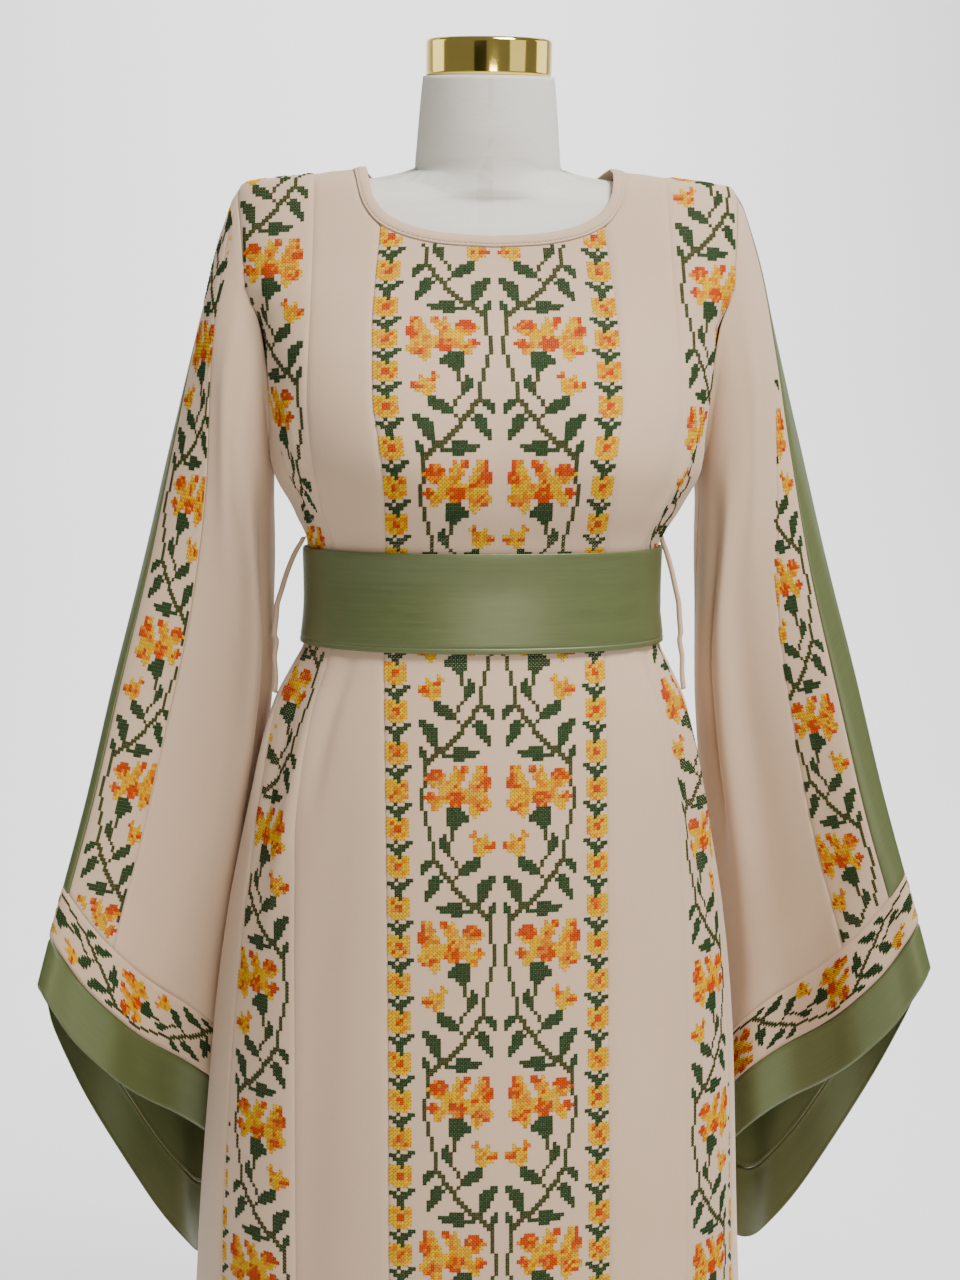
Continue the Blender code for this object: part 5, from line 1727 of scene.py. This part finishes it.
    def side(self) -> None:
        """The plain side panels, whose top edge is the bottom of the armhole."""
        robe, meet = self.robe, self.robe.meet()
        z = np.linspace(HEM, meet, self.low_rows)
        inner = paired(robe.side_border(z), z)
        inner[-1, 0] = robe.armhole(z[-1:])[0]
        z = np.where(z < 1.15, z, 1.15 + (z - 1.15) * (robe.back_meet() - 1.15) / (meet - 1.15))
        outer = paired(BACK_BORDER, z)
        shares = edge_shares(30)
        around = inner[-1, 0] * (1 - shares) + outer[-1, 0] * shares
        lows = np.linspace(1.1823, 1.28, 300)
        front, back = robe.armhole(lows), robe.armhole(lows, True)
        front_top = np.interp(around, front[::-1], lows[::-1])
        top = paired(around, np.where(around < 1, front_top, np.interp(around, back, lows)))
        top[0], top[-1] = inner[-1], outer[-1]
        self.pair("side_panel", self.patch(inner, outer, top, shares), shares, self.looks.crepe)

    def back(self) -> None:
        """The back in one piece: half a grid from the side to the middle, then mirrored."""
        robe = self.robe
        nape = robe.curve_of(BACK_OUT, 19, Edge.BACK)[::-1]
        top = np.concatenate([robe.ridge_line(np.linspace(SHOULDER_TIP, NECK_SIDE, 19)), nape[1:]])
        share = np.linspace(0, 1, len(top))
        share[1], share[2] = 0.006, 0.02
        low = np.linspace(HEM, SPLIT, self.low_rows)[:, None]
        edge = np.where(low < robe.back_meet(), BACK_BORDER, robe.armhole(np.maximum(low, 1.1821), True))
        low_round = edge * (1 - share) + 2.0 * share
        rise = self.rise()[:, None]
        z = SPLIT + (top[None, :, 1] - SPLIT) * rise
        x_low = robe.read(robe.points, low_round[-1:], np.full_like(low_round[-1:], SPLIT))[..., 0]
        x_top = robe.read(robe.points, top[:, 0], top[:, 1])[None, :, 0]
        x = x_low * (1 - rise) + x_top * rise
        bow = robe.read(robe.points, robe.armhole(z[:, :1], True), z[:, :1])[..., 0] - x[:, :1]
        around = robe.solve(0, x + bow * (1 - share) ** 2, z, 1, 2)
        around[:, -1] = 2.0
        around[:, 0] = robe.armhole(z[:, 0], True)
        around[-1] = top[:, 0]
        half = np.concatenate([paired(low_round, low), paired(around, z)])
        mirror = half[:, -2::-1].copy()
        mirror[..., 0] = 4 - mirror[..., 0]
        whole = np.concatenate([half, mirror], axis=1)
        shares = np.concatenate([share / 2, 1 - share[-2::-1] / 2])
        obj = self.shell("back_panel_cloth", whole, shares, self.looks.crepe)
        declare(obj, "back_panel")

    def build(self) -> None:
        """Makes every panel."""
        self.front_centre()
        self.neck_and_plain()
        self.front_side()
        self.side()
        self.back()


@dataclass
class NeckBindings:
    """The rolled bindings round the neck, with a line of topstitching."""

    robe: BodySurface
    looks: Looks
    stitches: CrossStitch
    columns: int = 60
    stitch: float = 0.0042  # from one stitch of the topstitching to the next

    def build(self) -> None:
        """Makes each binding: a strip between two neck lines, rolled over as a flat arch, with its stitching."""
        for name, inner, outer, edge in (
            ("neck_binding_front", NECK_IN, NECK_OUT, Edge.FRONT),
            ("neck_binding_back", BACK_IN, BACK_OUT, Edge.BACK),
        ):
            a, b = (self.robe.curve_of(line, self.columns, edge) for line in (outer, inner))
            t = np.linspace(-0.10, 1, 15)[:, None, None]
            half = a[None] * (1 - t) + b[None] * t
            mirror = half[:, :0:-1].copy()
            mirror[..., 0] = 4 - mirror[..., 0] if edge is Edge.BACK else -mirror[..., 0]
            whole = np.concatenate([mirror, half], axis=1)
            if edge is Edge.BACK:
                whole = whole[:, ::-1]
            t = np.linspace(0, 1, 15)[:, None]
            arch = 0.0004 + 0.0011 * np.sin(math.pi * np.clip(t * 0.94 + 0.03, 0, 1)) ** 0.5
            arch = arch - 0.0006 * np.exp(-(((t - 0.24) / 0.05) ** 2))
            points = self.robe.cloth(whole[..., 0], whole[..., 1], arch)
            obj = dress(cloth_mesh(name + "_cloth", points), name, self.looks.crepe, SHELL)
            declare(obj, name, [self.topstitch(name, whole, arch)], "stretched")

    def topstitch(self, name: str, whole: Array, arch: Array) -> Object:
        """A line of short straight stitches in the binding's groove, evenly spaced along it.

        Args:
            name: the binding's node.
            whole: (rows, cols, 2) places of the binding.
            arch: (rows, 1) lift of each row off the cloth.

        Returns:
            The stitches as one object.
        """
        line = whole[4]
        points = self.robe.cloth(line[:, 0], line[:, 1], float(arch[4, 0]) + 0.0001)
        run = run_of(points)
        count = int(run[-1] / self.stitch) - 1
        first = (np.arange(count) + 0.5) * self.stitch
        ends = [np.stack([np.interp(at, run, points[:, k]) for k in range(3)], -1)
                for at in (first, first + 0.62 * self.stitch)]
        up = self.robe.normal(np.interp(first, run, line[:, 0]), np.interp(first, run, line[:, 1]))
        wide = np.full((count, 1), 0.00042)
        rises, places = (0.0001, 0.0005, 0.0001), (0.0, 0.5, 1.0)
        threads = self.stitches.strand(ends[0], ends[1], up, wide, rises, places)
        obj = new_mesh(name.replace("binding", "topstitches"), threads.reshape(-1, 3), self.stitches.faces(count, 3, 0))
        obj.data.materials.append(self.looks.crepe_thread)
        return attach(obj, name)


@dataclass
class Sleeve:
    """One wide sleeve: satin and stitched strips, front and back, cuff band and satin hem."""

    surface: SleeveSurface
    side: Side
    looks: Looks
    chart: Chart
    stitches: CrossStitch
    rows: int = 120

    def flip(self, points: Array) -> Array:
        """The same grid on the other side of the robe, still facing outwards."""
        return points if self.side is Side.RIGHT else points[:, ::-1] * np.array([-1, 1, 1])

    def piece(self, name: str, points: Array, finish: Material, close: bool = False) -> Object:
        """Makes one piece of the sleeve from its grid.

        Args:
            name: the node without its side.
            points: the grid.
            finish: its cloth.
            close: welds the ends of a tube.

        Returns:
            The piece.
        """
        node = f"{name}_{self.side.tag}"
        obj = dress(cloth_mesh(node + "_cloth", self.flip(points)), node, finish, SHELL)
        if close:  # joins the two ends of a tube before its thickness is given
            obj.modifiers.new("close", "WELD").merge_threshold = 0.00002
            obj.modifiers.move(len(obj.modifiers) - 1, 0)
        return obj

    def build(self) -> None:
        """Makes all the pieces of this sleeve."""
        s, table = self.surface, TRIM[self.side]
        rows = np.linspace(0, 1, self.rows) ** 1.15 * (BAND_TOP + 0.002)
        marks = {n: s.turn_at(table.read(n, rows)[:, None], rows)[:, 0] for n in table.names.split()[1:]}
        half = np.full(len(rows), 0.5)
        strips = (
            ("sleeve_satin_strip", marks["satin_back"], marks["satin_front"], 14, self.looks.satin),
            ("sleeve_stitched_strip", marks["satin_front"], marks["stitched"], 22, self.looks.crepe),
            ("sleeve_front", marks["stitched"], half, 56, self.looks.crepe),
            ("sleeve_back", half, marks["satin_back"] + 1, 66, self.looks.crepe),
        )
        for name, start, end, count, finish in strips:
            shares = edge_shares(count, 0.02)[None, :]
            turn = start[:, None] * (1 - shares) + end[:, None] * shares
            along = np.broadcast_to(rows[:, None], turn.shape)
            wide = (end - start)[:, None] * np.interp(rows, s.alongs, s.run[:, -1])[:, None]
            dip = -0.0008 * np.exp(-((np.minimum(shares, 1 - shares) * wide / 0.0015) ** 2))
            if name == "sleeve_satin_strip":
                dip = dip + 0.0004
            obj = self.piece(name, s.cloth(turn, along, dip), finish)
            extra = [self.strip_stitches()] if name == "sleeve_stitched_strip" else []
            declare(obj, f"{name}_{self.side.tag}", extra)
        self.cuff()

    def strip_stitches(self) -> Object:
        """The vine down the stitched strip, cropped by its seams."""
        s, table = self.surface, TRIM[self.side]
        line = s.read(s.points, np.full(s.stations, 0.04), s.alongs)
        run = run_of(line)
        ends = np.interp([0.03, 0.99], s.alongs, run)
        count = int((ends[1] - ends[0]) / STITCH)
        along = np.interp(ends[0] + np.arange(count + 1) * STITCH, run, s.alongs)
        columns = 23
        start = table.read("satin_front", along)[:, None] + 0.0014
        distance = start + np.arange(columns + 1)[None, :] * STITCH
        turn, grid_along = self.squared(distance, along)
        offset = -9 if self.side is Side.RIGHT else 10
        codes = self.chart.vine(np.arange(count) + offset)[:, :columns]
        codes = np.concatenate([codes, np.full((count, columns - codes.shape[1]), -1)], axis=1)
        edge = table.read("stitched", along)[:-1, None] - 0.0012
        lowest = np.maximum(grid_along[1:, :-1], grid_along[1:, 1:])
        kept = (distance[:-1, 1:] < edge) & (lowest < BAND_TOP - 0.003)
        if self.side is Side.RIGHT:
            kept &= along[:-1, None] > 0.205
        codes = np.where(kept, codes, -1)
        points, normals = s.cloth(turn, grid_along), s.normal(turn, grid_along)
        return self.sew("sleeve_strip_stitches", points, normals, codes, "sleeve_stitched_strip")

    def squared(self, distance: Array, along: Array) -> tuple[Array, Array]:
        """Slides each column of a lattice along the sleeve until its rows stand square to the first column.

        A point is moved back by how far it lies ahead of its row's first point, three times over.

        Args:
            distance: (rows, cols) metres round from the outer line.
            along: (rows,) place along the sleeve of the first column.

        Returns:
            Turn and place along of every point.
        """
        s = self.surface
        slid = np.repeat(along[:, None], distance.shape[1], axis=1)
        for _ in range(3):
            turn = s.turn_at(distance, slid)
            points = s.cloth(turn, slid)
            way = np.gradient(points[:, 0], axis=0)
            step = np.linalg.norm(way, axis=-1, keepdims=True)
            ahead = ((points - points[:, :1]) * (way / step)[:, None]).sum(-1)
            slid = np.clip(slid - ahead * np.gradient(along)[:, None] / step, 0.012, 0.999)
        return s.turn_at(distance, slid), slid

    def sew(self, name: str, points: Array, normals: Array, codes: Array, node: str) -> Object:
        """Lays stitches on a sleeve lattice, whose rows run down it, on this side of the robe.

        Args:
            name: name of the stitches without its side.
            points: place of each cell.
            normals: way out at each cell.
            codes: thread of each cell.
            node: the node they are sewn to, without its side.

        Returns:
            The stitches.
        """
        codes = codes if self.side is Side.RIGHT else codes[:, ::-1]
        sewn = self.stitches.lay(f"{name}_{self.side.tag}", self.flip(points), self.flip(normals), codes)
        return attach(sewn, f"{node}_{self.side.tag}")

    def cuff(self) -> None:
        """The stitched band and the satin hem, as closed tubes."""
        s = self.surface
        turn = np.linspace(0, 1, 241)[None, :]
        for name, low, high, count, finish in (
            ("cuff_band", BAND_TOP, BAND_END, 16, self.looks.crepe),
            ("cuff_hem", BAND_END, 1.0, 18, self.looks.satin),
        ):
            along = np.linspace(low, high, count)[:, None]
            t, a = np.broadcast_arrays(turn, along)
            near = np.minimum(a - low, high - a) / (high - low) * 0.065
            lift = 0.0008 - 0.0010 * np.exp(-((near / 0.0016) ** 2)) - (0.0004 if name == "cuff_hem" else 0)
            obj = self.piece(name, s.cloth(t, a, lift), finish, close=True)
            if name == "cuff_band":
                obj.data.materials.append(self.looks.satin)
                obj.modifiers["cloth"].material_offset = 1
            extra = [self.cuff_stitches()] if name == "cuff_band" else []
            declare(obj, f"{name}_{self.side.tag}", extra)

    def cuff_stitches(self) -> Object:
        """The vine round the cuff band: its columns run down the band and its rows run round."""
        s = self.surface
        ring = s.run[int(round(0.9 * (s.stations - 1)))]
        count = int(round(ring[-1] / STITCH))
        turn = np.interp(np.arange(count + 1) / count * ring[-1], ring, s.turn)
        along = np.linspace(BAND_TOP + 0.0025, BAND_END - 0.0025, 23)
        t, a = np.meshgrid(turn, along)
        codes = self.chart.vine(np.arange(count) + 12).T
        points, normals = s.cloth(t, a, 0.0008), s.normal(t, a)
        return self.sew("cuff_stitches", points, normals, codes, "cuff_band")


@dataclass
class Belt:
    """The satin belt, with a piped lower edge, closed by an overlap at the back."""

    robe: BodySurface
    looks: Looks
    gap: float = 0.0026
    overlap: float = 0.10
    lift: float = 0.0030

    def build(self) -> None:
        """Makes the belt and its two loops."""
        around = np.linspace(-2 + 0.02, 2 + self.overlap, 300)[None, :]
        spans = ((0, 0.03, 4), (0.04, 0.08, 7), (0.1, 0.97, 17), (0.98, 1, 3))  # finer rows at the rims and the pipe
        share = np.concatenate([np.linspace(*span) for span in spans])[:, None]
        height = BELT_LOW + (BELT_HIGH - BELT_LOW) * share
        wave = 0.0007 * np.sin(3.1 * around + 0.8) * np.sin(math.pi * share)
        rim = -0.0006 * (np.exp(-((share / 0.02) ** 2)) + np.exp(-(((1 - share) / 0.02) ** 2)))
        pipe = -0.0008 * np.exp(-(((share - 0.06) / 0.010) ** 2))
        line = 0.27 + 0.05 * np.sin(2.3 * around)
        crease = -0.0005 * np.exp(-(((share - line) / 0.05) ** 2)) * step_up(around, 0, 0.5)
        inner = WALL + self.gap + self.lift * step_up(around, 2 - 0.16, 2 - 0.05)  # more where its ends overlap
        out = inner + WALL + wave + rim + pipe + crease
        a, h = np.broadcast_arrays(around, height)
        points = self.robe.at(a, h, out)
        obj = dress(cloth_mesh("belt_satin", points), "belt", self.looks.satin, 0.0012)
        declare(obj, "belt", (), "stretched", ["front_centre_panel", "back_panel"])
        for side in Side:
            self.loop(side)

    def loop(self, side: Side) -> None:
        """A narrow turned loop, sewn to the side of the robe above and below the belt.

        Its cross-section is a flat oval carried up the loop's line.

        Args:
            side: which side of the robe.
        """
        z = np.linspace(0.988, 1.120, 60)
        share = 0.75 if side is Side.RIGHT else 1.0
        out = WALL + 0.0016 + (LOOP.read("out", z) - 0.0022) * share
        edge = 0.0022 / self.robe.front_length(z)
        turn = np.linspace(0, 2 * math.pi, 13)
        around = side.value * 0.955 - edge[:, None] * np.cos(turn)[None, :]
        points = self.robe.at(around, np.broadcast_to(z[:, None], around.shape),
                              out[:, None] + 0.0006 - 0.0019 * np.sin(turn)[None, :])
        name = f"belt_loop_{side.tag}"
        tube = dress(cloth_mesh(name + "_cloth", points[:, :-1], True), name, self.looks.crepe, 0.0004)
        declare(tube, name, (), "stretched", ["side_panel_" + side.tag])


# ---- the dress form


@dataclass
class DressForm:
    """The limbless linen form with its gold cap, pole and base."""

    looks: Looks
    columns: int = 96
    neck_lean: float = 0.19
    neck_centre: float = 0.010

    def ring(self, height: float) -> Array:
        """One ring: the body's superellipse joined to the neck's circle by a power sum.

        Args:
            height: ring height.

        Returns:
            (columns, 3) points.
        """
        turn = np.linspace(0, 2 * math.pi, self.columns, endpoint=False)
        level = min(height, 1.4175)
        half = float(TORSO.read("half", level)) - 0.0012
        power = float(TORSO.read("power", level))
        front = max(float(TORSO.read("front", level)) - 0.0012, 3e-4)
        back = max(float(TORSO.read("back", level)) - 0.0012, 3e-4)
        if height > 1.4175:
            fade = max(1 - (height - 1.4175) / 0.006, 0)
            half, front, back = half * fade + 1e-4, front * fade + 1e-4, back * fade + 1e-4
        depth = np.where(np.cos(turn) > 0, front, back)
        angle = np.arctan2(max(half, 0.05) * np.sin(turn), np.maximum(depth, 0.045) * np.cos(turn))
        sin, cos = np.sin(angle), np.cos(angle)
        reach = ((np.abs(sin) / half) ** power + (np.abs(cos) / depth) ** power) ** (-1 / power)
        x, y = reach * sin, -reach * cos
        y = y - bust_rise(x, np.array(height)) * (y < -0.03)
        body = np.hypot(x, y)
        radius = float(NECK_SIZE.read("radius", height))
        centre = self.neck_centre - self.neck_lean * max(height - 1.418, -0.06)
        b = centre * cos
        neck = -b + np.sqrt(np.maximum(b * b - centre * centre + radius * radius, 1e-9))
        mid = step_up(-cos, -0.35, 0.35)
        neck = neck * (step_up(height, 1.366, 1.396) * (1 - mid) + step_up(height, 1.398, 1.418) * mid)
        size = (body**7 + neck**7) ** (1 / 7)
        px, py = size * sin, -size * cos
        rise = float(step_up(height, 1.418, 1.452))
        lift = back_lift(np.array(height), py) * (1 - rise) + self.neck_lean * rise * (py - centre)
        lift = lift - 0.0056 * float(step_up(height, 1.385, 1.402)) * (body > neck)
        return np.stack([px, py, height + lift], axis=-1)

    def build(self) -> None:
        """Makes the torso, cap, pole and base."""
        heights = np.concatenate([[0.770, 0.773], np.linspace(0.785, 1.38, 60), np.linspace(1.384, 1.43, 36),
                                  np.linspace(1.434, 1.4915, 18)])
        rings = np.stack([self.ring(float(h)) for h in heights])
        uv = paired(np.linspace(0, 1, self.columns, endpoint=False) * 0.9, rings[..., 2])
        torso = new_mesh("form_torso_linen", rings, grid_faces(len(heights), self.columns, True), uv)
        self.cap(torso, len(heights), self.columns)
        dress(torso, "form_torso", self.looks.linen)
        self.stand(rings[-1])

    @staticmethod
    def cap(obj: Object, rows: int, cols: int) -> None:
        """Closes both ends of a tube and turns its faces outwards.

        Args:
            obj: the tube.
            rows: its rows of points.
            cols: points of each row.
        """
        shape = bmesh.new()
        shape.from_mesh(obj.data)
        shape.verts.ensure_lookup_table()
        for first in (0, (rows - 1) * cols):
            shape.faces.new([shape.verts[first + i] for i in range(cols)])
        bmesh.ops.recalc_face_normals(shape, faces=shape.faces)
        shape.to_mesh(obj.data)
        shape.free()
        for face in obj.data.polygons:
            face.use_smooth = True

    def turned(self, name: str, profile: Sequence[tuple[float, float]], node: str, finish: Material,
               place: Sequence[float] = (0, 0, 0), lean: float = 0.0, steps: int = 96) -> None:
        """A solid of revolution: each (radius, height) carried round, leaned forward and placed.

        Args:
            name: the piece's name.
            profile: rows of radius and height, from the axis to the axis.
            node: the CAD node it replaces.
            finish: its material.
            place: where its foot goes.
            lean: turn about X.
            steps: columns round.
        """
        rows = np.array([(max(r, 1e-5), h) for r, h in profile])
        turn = np.linspace(0, 2 * math.pi, steps, endpoint=False)[None, :]
        x, y = rows[:, :1] * np.cos(turn), rows[:, :1] * np.sin(turn)
        z = rows[:, 1:] + 0 * x
        y, z = y * math.cos(lean) - z * math.sin(lean), y * math.sin(lean) + z * math.cos(lean)
        points = np.stack([x, y, z], -1) + np.asarray(place, float)
        obj = new_mesh(name, points, grid_faces(len(rows), steps, True))
        self.cap(obj, len(rows), steps)
        bevel = obj.modifiers.new("edge", "BEVEL")
        bevel.width, bevel.segments, bevel.limit_method = 0.0006, 2, "ANGLE"
        bevel.angle_limit = math.radians(50)
        dress(obj, node, finish)

    def stand(self, neck_top: Array) -> None:
        """The gold cap on the neck, the pole and the round base.

        Args:
            neck_top: the points of the neck's upper edge.
        """
        centre = neck_top.mean(axis=0)
        lean = math.atan(self.neck_lean)
        place = (0, centre[1] - math.sin(lean) * 0.0004, centre[2] + math.cos(lean) * 0.0004)
        r, h, e = 0.0512, 0.0285, 0.0035
        bend = np.linspace(0, math.pi / 2, 7)
        shoulder = [(r - e + e * math.cos(t), h - e + e * math.sin(t)) for t in bend]
        cap = [(0, 0), (r - 0.0008, 0), (r, 0.0008), (r, 0.003), *shoulder, (0, h)]
        self.turned("form_cap_gold", cap, "form_neck_cap", self.looks.gold, place, lean, 160)
        plate = [(0, 0), (0.160, 0), (0.160, 0.013), (0.155, 0.018), (0.024, 0.020), (0.024, 0.045)]
        base = [*plate, (0.0128, 0.045), (0.0128, 0.0182), (0, 0.0182)]
        self.turned("form_base_steel", base, "form_base", self.looks.steel)
        pole = [(0, 0.0185), (0.0125, 0.0185), (0.0125, 0.7697), (0, 0.7697)]
        self.turned("form_pole_steel", pole, "form_pole", self.looks.steel, steps=48)


# ---- the studio


LIGHTS = (
    # name, place, aim, size, watts, colour
    ("key", (0.8, -1.3, 3.3), (0.0, 0.0, 1.2), 1.0, 132.0, (1.0, 0.99, 0.975)),
    ("fill", (2.2, -1.9, 1.7), (0.0, 0.0, 0.95), 1.6, 8.0, (1.0, 0.985, 0.955)),
    ("front", (0.2, -2.5, 0.9), (0.0, 0.0, 0.85), 0.5, 17.0, (1.0, 0.95, 0.88)),
    ("left edge", (-2.2, 0.7, 2.0), (0.0, 0.0, 0.95), 1.4, 12.0, (1.0, 1.0, 1.0)),
    ("right edge", (2.2, 0.7, 2.0), (0.0, 0.0, 0.95), 1.4, 12.0, (1.0, 1.0, 1.0)),
    ("wall", (0.0, 1.4, 3.4), (0.0, 4.2, 1.2), 2.6, 215.0, (0.99, 1.0, 0.99)),
)


@dataclass
class Studio:
    """Camera, soft lights and a pale floor that sweeps up behind."""

    azimuth: float = -3.5
    elevation: float = 6.3
    distance: float = 1.40
    target: tuple[float, float, float] = (-0.0064, 0.0, 1.030)

    def build(self) -> None:
        """Sets the camera, the lights, the world and the floor."""
        self.camera()
        for row in LIGHTS:
            self.light(*row)
        self.world()
        self.floor()
        self.screen()

    @staticmethod
    def world() -> None:
        """A dim room that lights the object, and a paler one that only the camera sees."""
        world = bpy.data.worlds.new("studio")
        bpy.context.scene.world = world
        world.use_nodes = True
        tree = world.node_tree
        room, seen = tree.nodes["Background"], tree.nodes.new("ShaderNodeBackground")
        room.inputs["Color"].default_value, room.inputs["Strength"].default_value = (0.95, 0.95, 0.94, 1), 0.23
        seen.inputs["Color"].default_value, seen.inputs["Strength"].default_value = (0.70, 0.71, 0.71, 1), 1.5
        mix, path = tree.nodes.new("ShaderNodeMixShader"), tree.nodes.new("ShaderNodeLightPath")
        tree.links.new(path.outputs["Is Camera Ray"], mix.inputs[0])
        tree.links.new(room.outputs[0], mix.inputs[1])
        tree.links.new(seen.outputs[0], mix.inputs[2])
        tree.links.new(mix.outputs[0], tree.nodes["World Output"].inputs["Surface"])

    def camera(self) -> None:
        """Points the camera at the target from the given angle."""
        a, e = math.radians(self.azimuth), math.radians(self.elevation)
        back = Vector((math.sin(a) * math.cos(e), -math.cos(a) * math.cos(e), math.sin(e)))
        data = bpy.data.cameras.new("camera")
        data.sensor_width = 36.0
        data.lens = 18.0 / math.tan(math.radians(21.25))
        obj = bpy.data.objects.new("camera", data)
        obj.location = Vector(self.target) + back * self.distance
        obj.rotation_euler = back.to_track_quat("Z", "Y").to_euler()
        bpy.context.scene.collection.objects.link(obj)
        bpy.context.scene.camera = obj

    @staticmethod
    def light(name: str, place: Sequence[float], aim: Sequence[float], size: float, power: float,
              color: Sequence[float]) -> None:
        """One large soft area light.

        Args:
            name: its name.
            place: where it hangs.
            aim: the point it faces.
            size: side of the square.
            power: watts.
            color: its colour.
        """
        data = bpy.data.lights.new(name, "AREA")
        data.shape, data.size, data.energy, data.color = "SQUARE", size, power, color
        obj = bpy.data.objects.new(name, data)
        obj.location = place
        obj.rotation_euler = (Vector(place) - Vector(aim)).to_track_quat("Z", "Y").to_euler()
        bpy.context.scene.collection.objects.link(obj)

    @staticmethod
    def floor() -> None:
        """A pale floor that bends up into a wall behind: a straight, a quarter circle and a straight."""
        bend = np.linspace(0, math.pi / 2, 64)[1:]
        y = np.concatenate([[-6.0, -2.0, 1.2], 1.2 + 3.0 * np.sin(bend), [4.2]])
        z = np.concatenate([[0.0, 0.0, 0.0], 3.0 - 3.0 * np.cos(bend), [6.5]])
        x = np.linspace(-6, 6, 3)[:, None]
        points = np.stack(np.broadcast_arrays(x, y[None, :], z[None, :]), -1)
        obj = new_mesh("studio_floor", points, grid_faces(3, len(y)))
        obj.data.materials.append(PlainFinish("studio paper", (0.86, 0.87, 0.87)).make())
        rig.stage(obj)

    @staticmethod
    def screen() -> None:
        """A dark screen beside the camera, seen only as a reflection in the polished cap."""
        x, z = np.array([[-1.5], [-0.35]]), np.array([[0.4, 1.55]])
        points = np.stack(np.broadcast_arrays(x, -2.6, z), -1)
        obj = new_mesh("studio_screen", points, grid_faces(2, 2))
        obj.data.materials.append(PlainFinish("dark felt", (0.012, 0.012, 0.008)).make())
        obj.visible_camera = obj.visible_diffuse = obj.visible_shadow = False
        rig.stage(obj)


def main() -> None:
    """Builds the looks of the part in order."""
    logging.basicConfig(level=logging.INFO, format="%(name)s: %(message)s")
    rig.load()
    solid_box = [[float(v) for v in corner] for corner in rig.bounds()]
    Studio().build()
    looks, chart = Looks(), Chart()
    stitches = CrossStitch(looks.thread)
    robe = BodySurface()
    BodyPanels(robe, looks, chart, stitches).build()
    NeckBindings(robe, looks, stitches).build()
    surface = SleeveSurface(robe)
    for side in Side:
        Sleeve(surface, side, looks, chart, stitches).build()
    Belt(robe, looks).build()
    DressForm(looks).build()
    bpy.context.view_layer.update()
    dressed_box = [[float(v) for v in corner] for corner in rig.bounds()]
    with open("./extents.json", "w", encoding="utf-8") as out:
        json.dump([solid_box, dressed_box], out)


if __name__ == "__main__":
    main()
